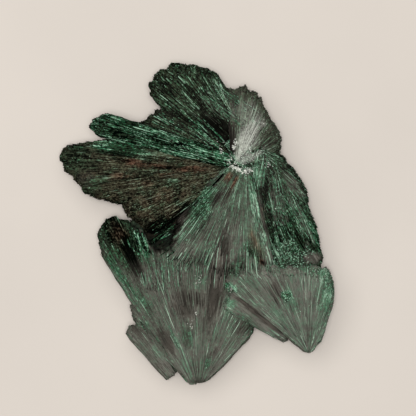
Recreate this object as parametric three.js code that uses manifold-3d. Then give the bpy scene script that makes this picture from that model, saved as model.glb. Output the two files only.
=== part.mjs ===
// A fibrous malachite specimen, grown as fans of fibres that radiate from a few points and interlock in
// one piece. It lies on its flat broken back: millimetres, +Z up, origin under the middle of the plan at the
// resting plane. X and Y are the plan as seen from above, with the foot of the specimen towards -Y.
//
// Every fan is a row of blades, and a blade is a bundle of fibres that runs from the fan's focus to its own
// rounded head on the rim. Grooves part the blades, and some blades are broken off half way, at a ledge.

import * as THREE from "three";
import { mergeVertices } from "three/addons/utils/BufferGeometryUtils.js";
import Module from "manifold-3d";

const wasm = await Module();
wasm.setup();

// Driving dimensions, in millimetres.
const specimenWidth = 69;
const specimenLength = 81;
const headRise = 0.7; // most that a blade stands above or below its neighbours
const ledgeRise = 1.3; // most that a broken blade drops at its ledge
const notch = 1.5; // furthest that the rim goes in between two heads
const wallRoughness = 1.4; // most that a corner of the back's wall is off its height

const numbersPerFan = 40; // every blade has a number of its own, from which its jitter comes
const edgeDrop = 2; // how far a fan's outer edges drop below its blades

// Shares, without a unit.
const grooveShare = 0.3; // most that a groove is deep, over the width of a blade there
const grooveShift = 0.18; // most that a groove is off its place, over the width of a blade
const ledgeShift = 0.18; // most that a ledge is off its place, over the length of a blade
const noseDrop = 0.36; // how far down a head's furthest point is, over the head's depth
const edgeDepth = 0.72; // how far down a fan's outer edges reach, over its depth
const edgePlace = 0.3; // of a fan's outer edge, from the middle of its last blade, over the blade's width
const crestPlaces = [-0.2, 0.2]; // of the two lines along the top of a blade, in the same way

// Where the top surface has points, as shares of the way from the focus to the head. A broken blade drops
// from ledge to ledgeFoot.
const station = { ledge: 0.52, ledgeFoot: 0.59, shoulder: 0.88 };

// Focus and heads are [x, y, height of the top surface]. neck is half the fan's width at the focus, depths
// are the fan's thickness at the focus and at the heads, bow is how far the middle of the blades arches up,
// and lumps is how much the heads swell.
const fans = [
  {
    name: "north west fan",
    focus: [8.5, 15.9, 23],
    neck: 1.5,
    depths: [5, 7],
    bow: 1.2,
    lumps: 0.2,
    heads: [
      [-24.5, 22.6, 20],
      [-26.5, 24.6, 21.5],
      [-25.6, 26.8, 22],
      [-22.9, 27.5, 22],
    ],
  },
  {
    name: "west fan",
    focus: [8.3, 14.4, 20.5],
    neck: 2,
    depths: [6, 8],
    bow: 0.8,
    lumps: 0.2,
    heads: [
      [-24.3, 21.2, 17],
      [-28.2, 20.7, 17],
      [-31.8, 19.7, 16.5],
      [-34.7, 16.9, 15.5],
      [-32.7, 13.9, 15],
      [-30, 10.9, 15],
      [-28.4, 7.9, 15],
      [-24.9, 6.6, 15.5],
      [-21.2, 5.7, 16],
      [-17.9, 4, 16.5],
      [-16.6, 1.6, 17],
      [-12.5, -1.6, 17.5],
    ],
  },
  {
    name: "upper middle fan",
    focus: [7.8, 17.7, 19],
    neck: 1.2,
    depths: [5, 6],
    bow: 0.5,
    lumps: 0.2,
    heads: [
      [-14.5, 25.7, 16.5],
      [-11.4, 26.9, 17],
      [-10.4, 28.9, 17.5],
      [-7.7, 28.7, 18],
    ],
  },
  {
    name: "north fan",
    focus: [12.5, 17.5, 15],
    neck: 3,
    depths: [8, 10],
    bow: 1.2,
    lumps: 0.4,
    heads: [
      [-9.3, 30.2, 16],
      [-11.2, 32.5, 17],
      [-11.9, 35.2, 18],
      [-10.5, 37.4, 18.5],
      [-8.5, 39, 18.5],
      [-6.2, 40.4, 18.5],
      [-3.4, 40.8, 18.5],
      [-0.6, 40.1, 18],
      [2.2, 39.4, 17.5],
      [4.9, 38.3, 17],
      [6.6, 35.8, 16.5],
    ],
  },
  {
    name: "north east fan",
    focus: [11.5, 16.7, 21],
    neck: 2.5,
    depths: [8, 9],
    bow: 0.6,
    lumps: 0.3,
    heads: [
      [8.7, 34.3, 17.5],
      [12, 34.9, 17.5],
      [14.7, 33.7, 17],
      [16.8, 31.3, 17],
      [18.1, 28.8, 16.5],
      [19.7, 25.7, 16],
      [21.2, 23, 15.5],
      [21.8, 20.4, 15],
      [21.6, 17.6, 15],
    ],
  },
  {
    name: "east fan",
    focus: [15.3, 17, 19.5],
    neck: 2.5,
    depths: [8, 9],
    bow: 0.8,
    lumps: 0.3,
    heads: [
      [22.9, 16.2, 14.5],
      [25.6, 12.8, 14.5],
      [27.6, 9.4, 14.5],
      [28.4, 6.4, 15],
      [28.7, 3.3, 15],
      [30.2, 0.2, 15],
      [30.8, -3.3, 15],
      [31.6, -6.3, 15],
      [32.2, -9.6, 15],
      [30.5, -12.5, 15],
      [26.8, -12.8, 14.5],
      [22.8, -12.8, 14],
      [18.8, -12, 14],
    ],
  },
  {
    name: "south fan",
    focus: [11, 13.7, 24.5],
    neck: 2.5,
    depths: [9, 10],
    bow: 0.9,
    lumps: 0.1,
    heads: [
      [-4.7, 0.7, 18],
      [-6, -2.8, 17.8],
      [-6.5, -6.3, 17.6],
      [-4.7, -9.1, 17.4],
      [-1.7, -10.6, 17.5],
      [1.5, -9.8, 17.8],
      [4.8, -10.9, 18.3],
      [8.3, -11.4, 19],
      [11.5, -11.2, 19.6],
      [14.8, -10.6, 20],
      [18.3, -9.4, 20.3],
    ],
  },
  {
    name: "foot fan",
    focus: [0.3, -39.9, 10],
    neck: 2.2,
    depths: [5.5, 9],
    bow: 1.2,
    lumps: 0.6,
    heads: [
      [-24, -6, 14],
      [-24.6, -2.5, 15],
      [-23.6, 1.2, 15.5],
      [-20.8, 2.5, 16],
      [-17.6, 1.5, 15.5],
      [-15.5, 0, 15],
      [-13.2, -0.9, 15],
      [-11.6, -4.6, 16],
      [-9, -5.9, 16.5],
      [-6.2, -5.6, 16.5],
      [-3.2, -5.6, 16.5],
      [-0.2, -5.8, 16.5],
      [3, -6.3, 16],
      [7.3, -9.6, 16],
      [10.8, -13.8, 15.5],
      [13.1, -18.1, 15],
      [14.7, -22.4, 14.5],
      [14.8, -25.5, 14],
    ],
  },
  {
    name: "knee fan",
    focus: [28.4, -31.9, 11],
    neck: 0.7,
    depths: [4, 9],
    bow: 1,
    lumps: 0.4,
    heads: [
      [9.4, -15.4, 18],
      [7, -13.6, 18.5],
      [7.3, -11.3, 19],
      [9.8, -9.6, 19.5],
      [12.8, -9.1, 20],
      [16, -9.3, 20.5],
      [19.5, -9.3, 20.5],
      [23, -9.3, 20.5],
      [26.5, -9.1, 20],
      [30, -9.6, 19.5],
      [33, -10.9, 19],
      [34.5, -13.6, 18],
      [34.8, -16.6, 17],
      [34.3, -19.6, 16],
      [33.4, -22.8, 15],
      [32.3, -26.4, 13.5],
    ],
  },
  {
    name: "slab",
    focus: [8.6, -18.4, 16.3],
    neck: 3,
    depths: [5, 6],
    bow: 0,
    lumps: 0,
    heads: [
      [20.8, -28.8, 12],
      [22.9, -29.8, 12],
      [24.6, -28, 12.5],
      [22.3, -24.6, 13],
    ],
  },
  {
    name: "heel fan",
    focus: [-6, -38.2, 9.5],
    neck: 1.5,
    depths: [5, 6],
    bow: 0.6,
    lumps: 0.2,
    heads: [
      [-17.4, -26.7, 12],
      [-16.7, -25, 13],
      [-14.5, -24.2, 13.2],
    ],
  },
  {
    name: "upper heel fan",
    focus: [-3, -36.3, 9],
    neck: 1.8,
    depths: [5, 7],
    bow: 0.6,
    lumps: 0.3,
    heads: [
      [-15.9, -23.1, 12],
      [-16.7, -20.8, 12.5],
      [-16, -18.8, 13],
    ],
  },
];

// The back is the broken stump that the fans grow from, which flares upwards to meet them: a lathed block
// whose corners are these [x, y] points, and whose profile has [share of the way to a corner, height].
const back = {
  middle: [4, 0],
  profile: [
    [0, -2],
    [0.84, -2],
    [0.9, 3],
    [1.07, 8.5],
    [0.74, 11],
    [0, 13],
  ],
  corners: [
    [-9.5, 14.5],
    [-13.8, 11.8],
    [-15.6, 7.2],
    [-13.4, 3.8],
    [-15.2, -0.6],
    [-14.2, -5.2],
    [-15.8, -9.4],
    [-11.2, -12.2],
    [-9.9, -17.6],
    [-5.6, -19.4],
    [-2.8, -25.2],
    [2.2, -26.9],
    [6.3, -24.4],
    [10.8, -26.3],
    [13.2, -21.2],
    [17.6, -18.6],
    [18.4, -13.2],
    [22.9, -9.1],
    [23.2, -3],
    [20.8, 1.2],
    [22.4, 7.5],
    [18.9, 11.6],
    [18.3, 17.4],
    [12.9, 20.6],
    [9, 25.6],
    [3.2, 24.4],
    [-2, 26.8],
    [-5.2, 21.9],
    [-8, 20.8],
  ],
};

// Knobs are rounded tufts of short fibres: [x, y, z, radius]. The first is where the upper fans meet.
const knobs = [
  [12, 17, 16.5, 5.2],
  [21.3, -7.4, 15, 3.1],
  [24.4, -8.8, 15.3, 2.6],
  [23.4, -4.6, 14.9, 2.5],
  [27, -6.9, 14.7, 2.3],
  [22.5, -17.3, 17.6, 2.1],
];

// A repeatable number from -1 to 1 for part number `index` and purpose `salt`.
function jitter(index, salt) {
  const x = Math.sin(index * 12.9898 + salt * 78.233) * 43758.5453;
  return 2 * (x - Math.floor(x)) - 1;
}

// The point at a place along a row of points, carried on past both ends in the direction of the last two.
function pointAlong(row, place) {
  const i = THREE.MathUtils.clamp(Math.floor(place), 0, row.length - 2);
  return row[i].clone().lerp(row[i + 1], place - i);
}

// The outline of a fan in the upright plane of one column, from the top of the focus out over the top
// surface, round the head and back underneath.
function columnOutline(fan, column) {
  const { start, end, blade } = column;
  const reach = Math.hypot(end.x - start.x, end.y - start.y) - column.inset;
  const direction = end.clone().sub(start).setZ(0).normalize();
  const middleLine = (v) => THREE.MathUtils.lerp(start.z, end.z, v);
  const height = (v) => {
    const rise = headRise * jitter(blade, 1) * Math.min(3 * v, 1);
    const bow = fan.bow * Math.sin(Math.PI * v) * (1 + 0.4 * jitter(blade, 2));
    return middleLine(v) + rise + bow - column.drop * v;
  };
  const underside = (v) => middleLine(v) - THREE.MathUtils.lerp(...fan.depths, v) * column.depthShare;
  const broken = 0.5 * ledgeRise * (1 + jitter(blade, 4));
  const ledgeMove = ledgeShift * jitter(blade, 5);
  const outline = [
    [0, height(0)],
    [station.ledge + ledgeMove, height(station.ledge) + broken],
    [station.ledgeFoot + ledgeMove, height(station.ledgeFoot)],
    [station.shoulder, height(station.shoulder) + column.swell],
    [1, THREE.MathUtils.lerp(end.z - column.drop, underside(1), noseDrop)],
    [0.93, underside(0.93)],
    [0, underside(0)],
  ];
  return outline.map(([v, z]) => start.clone().addScaledVector(direction, v * reach).setZ(z));
}

// The columns of a fan, anticlockwise across it, each with its start at the focus and its end on the rim: an
// outer edge, the crests of every blade with a groove between two blades, and the other outer edge.
function columnsOf(fan, fanIndex) {
  const heads = fan.heads.map((head) => new THREE.Vector3(...head));
  const focus = new THREE.Vector3(...fan.focus);
  const outwards = heads[Math.floor(heads.length / 2)].clone().sub(focus);
  const across = new THREE.Vector3(-outwards.y, outwards.x, 0).normalize();
  if (heads.at(-1).clone().sub(heads[0]).dot(across) < 0) heads.reverse();
  const lastBlade = heads.length - 1;

  const numberOf = (i) => fanIndex * numbersPerFan + i;
  const columnAt = (i, place, shape) => {
    const spot = i + place;
    return {
      blade: numberOf(i),
      start: focus.clone().addScaledVector(across, ((2 * spot + 1) / heads.length - 1) * fan.neck),
      end: pointAlong(heads, spot),
      ...shape,
    };
  };
  const grooveDrop = (i) => {
    const width = pointAlong(heads, i + 0.5).distanceTo(pointAlong(heads, i - 0.5));
    return grooveShare * width * (0.65 + 0.35 * jitter(numberOf(i), 8));
  };
  const notchAt = (i) => notch * (0.5 + 0.4 * jitter(numberOf(i), 9));
  const grooveAt = (i) =>
    columnAt(i, -0.5 + grooveShift * jitter(numberOf(i), 7), {
      drop: grooveDrop(i),
      inset: notchAt(i),
      swell: -0.5 * fan.lumps,
      depthShare: 0.9,
    });
  const crestsAt = (i) =>
    crestPlaces.map((place, side) =>
      columnAt(i, place, {
        drop: 0,
        inset: 0.1 * notch * (1 + jitter(numberOf(i), 10 + side)),
        swell: fan.lumps,
        depthShare: 1,
      }),
    );
  const edgeAt = (i, place) =>
    columnAt(i, place, {
      drop: grooveDrop(i) + edgeDrop,
      inset: notchAt(i),
      swell: -0.5 * fan.lumps,
      depthShare: edgeDepth,
    });

  const columns = [edgeAt(0, -edgePlace)];
  heads.forEach((_, i) => {
    if (i > 0) columns.push(grooveAt(i));
    columns.push(...crestsAt(i));
  });
  columns.push(edgeAt(lastBlade, edgePlace));
  return columns;
}

// A closed skin over a row of outlines that all have the same number of points, with both ends capped.
function loft(outlines) {
  const size = outlines[0].length;
  const faces = [];
  for (let row = 0; row < outlines.length - 1; row++)
    for (let k = 0; k < size; k++) {
      const a = row * size + k;
      const b = row * size + ((k + 1) % size);
      faces.push(a, b, a + size, b, b + size, a + size);
    }
  const capOf = (outline) => {
    const [origin] = outline;
    const flat = outline.map((p) => new THREE.Vector2(Math.hypot(p.x - origin.x, p.y - origin.y), p.z));
    return THREE.ShapeUtils.triangulateShape(flat, []);
  };
  const last = (outlines.length - 1) * size;
  for (const [a, b, c] of capOf(outlines[0])) faces.push(a, b, c);
  for (const [a, b, c] of capOf(outlines.at(-1))) faces.push(last + c, last + b, last + a);
  const geometry = new THREE.BufferGeometry().setFromPoints(outlines.flat());
  geometry.setIndex(faces);
  return geometry;
}

function fanGeometry(fan, fanIndex) {
  return loft(columnsOf(fan, fanIndex).map((column) => columnOutline(fan, column)));
}

function backGeometry() {
  const profile = back.profile.map((p) => new THREE.Vector2(...p));
  const lathe = new THREE.LatheGeometry(profile, back.corners.length);
  lathe.rotateX(Math.PI / 2);
  const [x, y] = back.middle;
  const spots = lathe.attributes.position;
  for (let i = 0; i < spots.count; i++) {
    const corner = Math.floor(i / profile.length) % back.corners.length;
    const level = i % profile.length;
    const [cornerX, cornerY] = back.corners[corner];
    const share = Math.hypot(spots.getX(i), spots.getY(i));
    const isWall = share > 0.5 && spots.getZ(i) > 0;
    const lift = isWall ? wallRoughness * jitter(corner, 12 + level) : 0;
    spots.setXYZ(i, x + share * (cornerX - x), y + share * (cornerY - y), spots.getZ(i) + lift);
  }
  return lathe;
}

function knobGeometry([x, y, z, radius]) {
  return new THREE.IcosahedronGeometry(radius, 1).rotateZ(x + y).translate(x, y, z);
}

function solidOf(geometry) {
  const bare = geometry.clone();
  bare.deleteAttribute("normal");
  bare.deleteAttribute("uv");
  const merged = mergeVertices(bare, 1e-4);
  const vertProperties = new Float32Array(merged.attributes.position.array);
  const triVerts = new Uint32Array(merged.index.array);
  return new wasm.Manifold(new wasm.Mesh({ numProp: 3, vertProperties, triVerts }));
}

function geometryOf(solid) {
  const mesh = solid.getMesh();
  const geometry = new THREE.BufferGeometry();
  geometry.setAttribute("position", new THREE.BufferAttribute(new Float32Array(mesh.vertProperties), 3));
  geometry.setIndex(new THREE.BufferAttribute(new Uint32Array(mesh.triVerts), 1));
  return geometry;
}

// The fans grown together, cut flat at the back, without the pockets sealed inside.
function specimenGeometry() {
  let grown = solidOf(backGeometry());
  fans.forEach((fan, fanIndex) => {
    grown = grown.add(solidOf(fanGeometry(fan, fanIndex)));
  });
  for (const knob of knobs) grown = grown.add(solidOf(knobGeometry(knob)));
  const belowDepth = 20;
  const below = new THREE.BoxGeometry(2 * specimenWidth, 2 * specimenLength, belowDepth);
  below.translate(0, 0, -belowDepth / 2);
  const shells = grown.subtract(solidOf(below)).decompose();
  shells.sort((a, b) => b.volume() - a.volume());
  return geometryOf(shells[0]);
}

// Centres the plan on the origin and stretches it to the specimen's width and length.
function fitPlan(geometry) {
  geometry.computeBoundingBox();
  const size = geometry.boundingBox.getSize(new THREE.Vector3());
  const middle = geometry.boundingBox.getCenter(new THREE.Vector3());
  geometry.translate(-middle.x, -middle.y, 0);
  geometry.scale(specimenWidth / size.x, specimenLength / size.y, 1);
  return geometry;
}

const malachiteGreen = new THREE.MeshStandardMaterial({
  name: "malachite",
  color: 0x1f4a33,
  roughness: 0.55,
  metalness: 0,
  flatShading: true,
});

const malachite = new THREE.Mesh(fitPlan(specimenGeometry()), malachiteGreen);
malachite.name = "malachite";

const specimen = new THREE.Group();
specimen.add(malachite);

export default specimen;
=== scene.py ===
import math

import bpy
import numpy as np
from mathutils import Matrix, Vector


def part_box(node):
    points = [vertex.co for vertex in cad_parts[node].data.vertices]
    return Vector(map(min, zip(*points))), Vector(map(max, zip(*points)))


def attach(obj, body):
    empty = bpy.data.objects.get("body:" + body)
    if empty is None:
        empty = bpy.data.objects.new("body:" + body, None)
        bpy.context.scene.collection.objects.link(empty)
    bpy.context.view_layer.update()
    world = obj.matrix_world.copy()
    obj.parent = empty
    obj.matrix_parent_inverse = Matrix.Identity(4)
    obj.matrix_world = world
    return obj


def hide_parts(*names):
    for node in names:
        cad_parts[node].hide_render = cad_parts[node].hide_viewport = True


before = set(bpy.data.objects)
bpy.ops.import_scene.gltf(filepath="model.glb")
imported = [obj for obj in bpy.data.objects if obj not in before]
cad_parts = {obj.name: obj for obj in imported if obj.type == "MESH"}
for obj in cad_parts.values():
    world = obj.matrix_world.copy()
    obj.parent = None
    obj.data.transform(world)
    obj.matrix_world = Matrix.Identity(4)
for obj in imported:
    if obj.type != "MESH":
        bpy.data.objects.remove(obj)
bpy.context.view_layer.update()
lowCorner, highCorner = (np.array(corner) * 1000 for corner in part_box("malachite"))
print("frame loaded")


def jitter(index, salt):  # repeatable, from -1 to 1, the same numbers as the solid's
    x = np.sin(np.asarray(index) * 12.9898 + salt * 78.233) * 43758.5453
    return 2 * (x - np.floor(x)) - 1


def softNoise(x, y, seed):  # smooth noise over a plane, from -1 to 1
    table = np.random.default_rng(seed).random((64, 64))
    column, row = np.floor(x).astype(int), np.floor(y).astype(int)
    along, up = smoothStep(x - column), smoothStep(y - row)
    low = table[column % 64, row % 64] * (1 - along) + table[(column + 1) % 64, row % 64] * along
    high = table[column % 64, (row + 1) % 64] * (1 - along) + table[(column + 1) % 64, (row + 1) % 64] * along
    return 2 * (low * (1 - up) + high * up) - 1


def smoothStep(x):
    x = np.clip(x, 0, 1)
    return x * x * (3 - 2 * x)


def planNoise(points, pitch, seed):
    return softNoise(points[..., 0] * pitch, points[..., 1] * pitch, seed)


def unit(vectors):
    return vectors / np.maximum(np.linalg.norm(vectors, axis=-1, keepdims=True), 1e-9)


def between(ends, share):
    return ends[0] + (ends[1] - ends[0]) * share


def joined(parts, what):
    return np.concatenate([part[what] for part in parts])


# How every fan grows. The numbers down to "numbersPerFan" are the solid's, and the rest is finer than it.
growth = {
    "headRise": 0.7,
    "ledgeRise": 1.3,
    "notch": 1.5,
    "edgeDrop": 2.0,
    "grooveShare": 0.3,
    "grooveShift": 0.18,
    "ledgeShift": 0.18,
    "noseDrop": 0.36,
    "edgeDepth": 0.72,
    "edgePlace": 0.3,
    "crestPlaces": (-0.2, 0.2),
    "ledge": 0.52,
    "ledgeFoot": 0.59,
    "shoulder": 0.88,
    "numbersPerFan": 40,
    "underEdge": 0.93,  # where the underside starts to round off, over the length of a blade
    "columnStep": 0.3,  # between two columns of points at the rim
    "rowStep": 1.5,  # between two rows of points along a blade
    "wallPoints": 4,
    "grooveCut": 0.35,
    "notchKept": 0.45,  # share of the solid's notches between heads that crumbs leave open
    "flecking": 2.2,  # how much the bright fibres come and go along their length
    "smoothing": 0.85,  # of the relief on the places marked "smooth"
    "rimRoughness": (0.35, 0.22),
    "headLumps": (0.3, 0.22),
    "bluntLength": 1.3,  # of the round end at a focus that shows
    "bluntShare": 0.6,
    "grooveSlope": 5,
    "roughness": (0.12, 1.1),  # over all surfaces, and how many times it repeats in a millimetre
    "rimPitch": (2.3, 6),
    "lumpPitch": (0.7, 1.6),
    "wallBulge": 0.12,
    "wallGrain": 0.25,
    # Painted shade: the bodies under the fibres are darker, and their side walls darker still.
    "wallTone": -0.2,
    "bodyTone": -0.1,
    # Patches in how pale and grey the fibres are, partly a painted veil of glare.
    "paleAndGlarePatches": (0.25, 0.35),
    "stubs": 90,
    "focusDrapes": 90,
}

# The solid is centred and stretched to its measures like this, and so is all that stands on it.
plan = {
    "middle": (0.32156, 0.13112),
    "scale": (1.0037911, 1.0016908),
}

# Splinters, fibres, grains, tips and drapes are numbers of small pieces, and drapes run on past the heads.
# Shade is the tone of the fibres, how much it varies and the share of bright ones, partly painted glints.
# The pair after it is how pale and grey they are at the focus and at the heads: partly paler fibres, partly a
# painted veil of glare. Earth is how brown they are all over, and crumbly is where the lines turn into
# grains, and how much.
northWestFan = {
    "focus": (8.5, 15.9, 23), "neck": 1.5, "depths": (5, 7), "bow": 1.2, "lumps": 0.2,
    "heads": ((-24.5, 22.6, 20), (-26.5, 24.6, 21.5), (-25.6, 26.8, 22), (-22.9, 27.5, 22)),
    "splinters": 260, "fibres": 800, "grains": 1500, "tips": 250, "drapes": 0,
    "shade": (0.22, 0.28, 0.3), "paleAndGlare": (0, 0), "earth": 0, "crumbly": (0.62, 0.9),
}

# Its three westernmost heads lie up to 1 mm from the solid's. All other places of the fans are the solid's.
westFan = {
    "focus": (8.3, 14.4, 20.5), "neck": 2, "depths": (6, 8), "bow": 0.8, "lumps": 0.2,
    "heads": (
        (-24.3, 21.2, 17), (-28.2, 20.7, 17), (-32.6, 19.7, 16.5), (-34.5, 16.9, 15.5), (-33.7, 13.6, 15),
        (-30, 10.9, 15), (-28.4, 7.9, 15), (-24.9, 6.6, 15.5), (-21.2, 5.7, 16), (-17.9, 4, 16.5),
        (-16.6, 1.6, 17), (-12.5, -1.6, 17.5),
    ),
    "splinters": 520, "fibres": 1400, "grains": 1600, "tips": 500, "drapes": 60,
    "shade": (0.26, 0.14, 0.07), "paleAndGlare": (0, 0.05), "earth": 0.68, "crumbly": (0.8, 0.8),
}

upperMiddleFan = {
    "focus": (7.8, 17.7, 19), "neck": 1.2, "depths": (5, 6), "bow": 0.5, "lumps": 0.2,
    "heads": ((-14.5, 25.7, 16.5), (-11.4, 26.9, 17), (-10.4, 28.9, 17.5), (-7.7, 28.7, 18)),
    "splinters": 160, "fibres": 400, "grains": 400, "tips": 150, "drapes": 40,
    "shade": (0.14, 0.18, 0.1), "paleAndGlare": (0.05, 0.1), "earth": 0.4, "crumbly": (0.7, 0.5),
}

northFan = {
    "focus": (12.5, 17.5, 15), "neck": 3, "depths": (8, 10), "bow": 1.2, "lumps": 0.4,
    "heads": (
        (-9.3, 30.2, 16), (-11.2, 32.5, 17), (-11.9, 35.2, 18), (-10.5, 37.4, 18.5), (-8.5, 39, 18.5),
        (-6.2, 40.4, 18.5), (-3.4, 40.8, 18.5), (-0.6, 40.1, 18), (2.2, 39.4, 17.5), (4.9, 38.3, 17),
        (6.6, 35.8, 16.5),
    ),
    "splinters": 360, "fibres": 1000, "grains": 1800, "tips": 500, "drapes": 0,
    "shade": (0.2, 0.22, 0.22), "paleAndGlare": (0.1, 0.05), "earth": 0.25, "crumbly": (0.7, 0.8),
}

northEastFan = {
    "focus": (11.5, 16.7, 21), "neck": 2.5, "depths": (8, 9), "bow": 0.6, "lumps": 0.3,
    "heads": (
        (8.7, 34.3, 17.5), (12, 34.9, 17.5), (14.7, 33.7, 17), (16.8, 31.3, 17), (18.1, 28.8, 16.5),
        (19.7, 25.7, 16), (21.2, 23, 15.5), (21.8, 20.4, 15), (21.6, 17.6, 15),
    ),
    "splinters": 240, "fibres": 700, "grains": 1200, "tips": 350, "drapes": 0,
    "shade": (0.38, 0.18, 0.14), "paleAndGlare": (0.4, 0.5), "earth": 0.4, "crumbly": (0.6, 0.8),
}

eastFan = {
    "focus": (15.3, 17, 19.5), "neck": 2.5, "depths": (8, 9), "bow": 0.8, "lumps": 0.3,
    "heads": (
        (22.9, 16.2, 14.5), (25.6, 12.8, 14.5), (27.6, 9.4, 14.5), (28.4, 6.4, 15), (28.7, 3.3, 15),
        (30.2, 0.2, 15), (30.8, -3.3, 15), (31.6, -6.3, 15), (32.2, -9.6, 15), (30.5, -12.5, 15),
        (26.8, -12.8, 14.5), (22.8, -12.8, 14), (18.8, -12, 14),
    ),
    "splinters": 420, "fibres": 1100, "grains": 900, "tips": 350, "drapes": 20,
    "shade": (0.24, 0.2, 0.18), "paleAndGlare": (0.2, 0), "earth": 0.1, "crumbly": (0.85, 0.6),
}

southFan = {
    "focus": (11, 13.7, 24.5), "neck": 2.5, "depths": (9, 10), "bow": 0.9, "lumps": 0.1,
    "heads": (
        (-4.7, 0.7, 18), (-6, -2.8, 17.8), (-6.5, -6.3, 17.6), (-4.7, -9.1, 17.4), (-1.7, -10.6, 17.5),
        (1.5, -9.8, 17.8), (4.8, -10.9, 18.3), (8.3, -11.4, 19), (11.5, -11.2, 19.6), (14.8, -10.6, 20),
        (18.3, -9.4, 20.3),
    ),
    "splinters": 420, "fibres": 1300, "grains": 300, "tips": 100, "drapes": 420,
    "shade": (0.43, 0.17, 0.12), "paleAndGlare": (0.35, 0.8), "earth": 0.1, "crumbly": (1, 0),
}

footFan = {
    "focus": (0.3, -39.9, 10), "bluntEnd": True, "neck": 2.2, "depths": (5.5, 9), "bow": 1.2, "lumps": 0.6,
    "heads": (
        (-24, -6, 14), (-24.6, -2.5, 15), (-23.6, 1.2, 15.5), (-20.8, 2.5, 16), (-17.6, 1.5, 15.5),
        (-15.5, 0, 15), (-13.2, -0.9, 15), (-11.6, -4.6, 16), (-9, -5.9, 16.5), (-6.2, -5.6, 16.5),
        (-3.2, -5.6, 16.5), (-0.2, -5.8, 16.5), (3, -6.3, 16), (7.3, -9.6, 16), (10.8, -13.8, 15.5),
        (13.1, -18.1, 15), (14.7, -22.4, 14.5), (14.8, -25.5, 14),
    ),
    "splinters": 380, "fibres": 1600, "grains": 700, "tips": 150, "drapes": 60,
    "shade": (0.42, 0.1, 0.06), "paleAndGlare": (0.9, 0.6), "earth": 0.1, "crumbly": (0.35, 0.45),
}

kneeFan = {
    "focus": (28.4, -31.9, 11), "bluntEnd": True, "neck": 0.7, "depths": (4, 9), "bow": 1, "lumps": 0.4,
    "heads": (
        (9.4, -15.4, 18), (7, -13.6, 18.5), (7.3, -11.3, 19), (9.8, -9.6, 19.5), (12.8, -9.1, 20),
        (16, -9.3, 20.5), (19.5, -9.3, 20.5), (23, -9.3, 20.5), (26.5, -9.1, 20), (30, -9.6, 19.5),
        (33, -10.9, 19), (34.5, -13.6, 18), (34.8, -16.6, 17), (34.3, -19.6, 16), (33.4, -22.8, 15),
        (32.3, -26.4, 13.5),
    ),
    "splinters": 110, "fibres": 1800, "grains": 3200, "tips": 250, "drapes": 0,
    "shade": (0.48, 0.11, 0.12), "paleAndGlare": (0.9, 0.9), "earth": 0.1, "crumbly": (0.45, 0.5),
}

slab = {
    "focus": (8.6, -18.4, 16.3), "neck": 3, "depths": (5, 6), "bow": 0, "lumps": 0,
    "heads": ((20.8, -28.8, 12), (22.9, -29.8, 12), (24.6, -28, 12.5), (22.3, -24.6, 13)),
    "splinters": 60, "fibres": 300, "grains": 20, "tips": 20, "drapes": 0,
    "shade": (0.44, 0.06, 0.04), "paleAndGlare": (0.9, 0.9), "earth": 0.1, "crumbly": (1, 0),
}

heelFan = {
    "focus": (-6, -38.2, 9.5), "neck": 1.5, "depths": (5, 6), "bow": 0.6, "lumps": 0.2,
    "heads": ((-17.4, -26.7, 12), (-16.7, -25, 13), (-14.5, -24.2, 13.2)),
    "splinters": 60, "fibres": 220, "grains": 50, "tips": 40, "drapes": 0,
    "shade": (0.36, 0.08, 0.04), "paleAndGlare": (0.85, 0.85), "earth": 0.1, "crumbly": (1, 0),
}

upperHeelFan = {
    "focus": (-3, -36.3, 9), "bluntEnd": True, "neck": 1.8, "depths": (5, 7), "bow": 0.6, "lumps": 0.3,
    "heads": ((-15.9, -23.1, 12), (-16.7, -20.8, 12.5), (-16, -18.8, 13)),
    "splinters": 70, "fibres": 240, "grains": 60, "tips": 60, "drapes": 0,
    "shade": (0.36, 0.1, 0.05), "paleAndGlare": (0.75, 0.7), "earth": 0.1, "crumbly": (1, 0),
}

# In the order of the solid's list, because a blade's number comes from its fan's place in it.
fans = {
    "northWestFan": northWestFan,
    "westFan": westFan,
    "upperMiddleFan": upperMiddleFan,
    "northFan": northFan,
    "northEastFan": northEastFan,
    "eastFan": eastFan,
    "southFan": southFan,
    "footFan": footFan,
    "kneeFan": kneeFan,
    "slab": slab,
    "heelFan": heelFan,
    "upperHeelFan": upperHeelFan,
}

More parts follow.
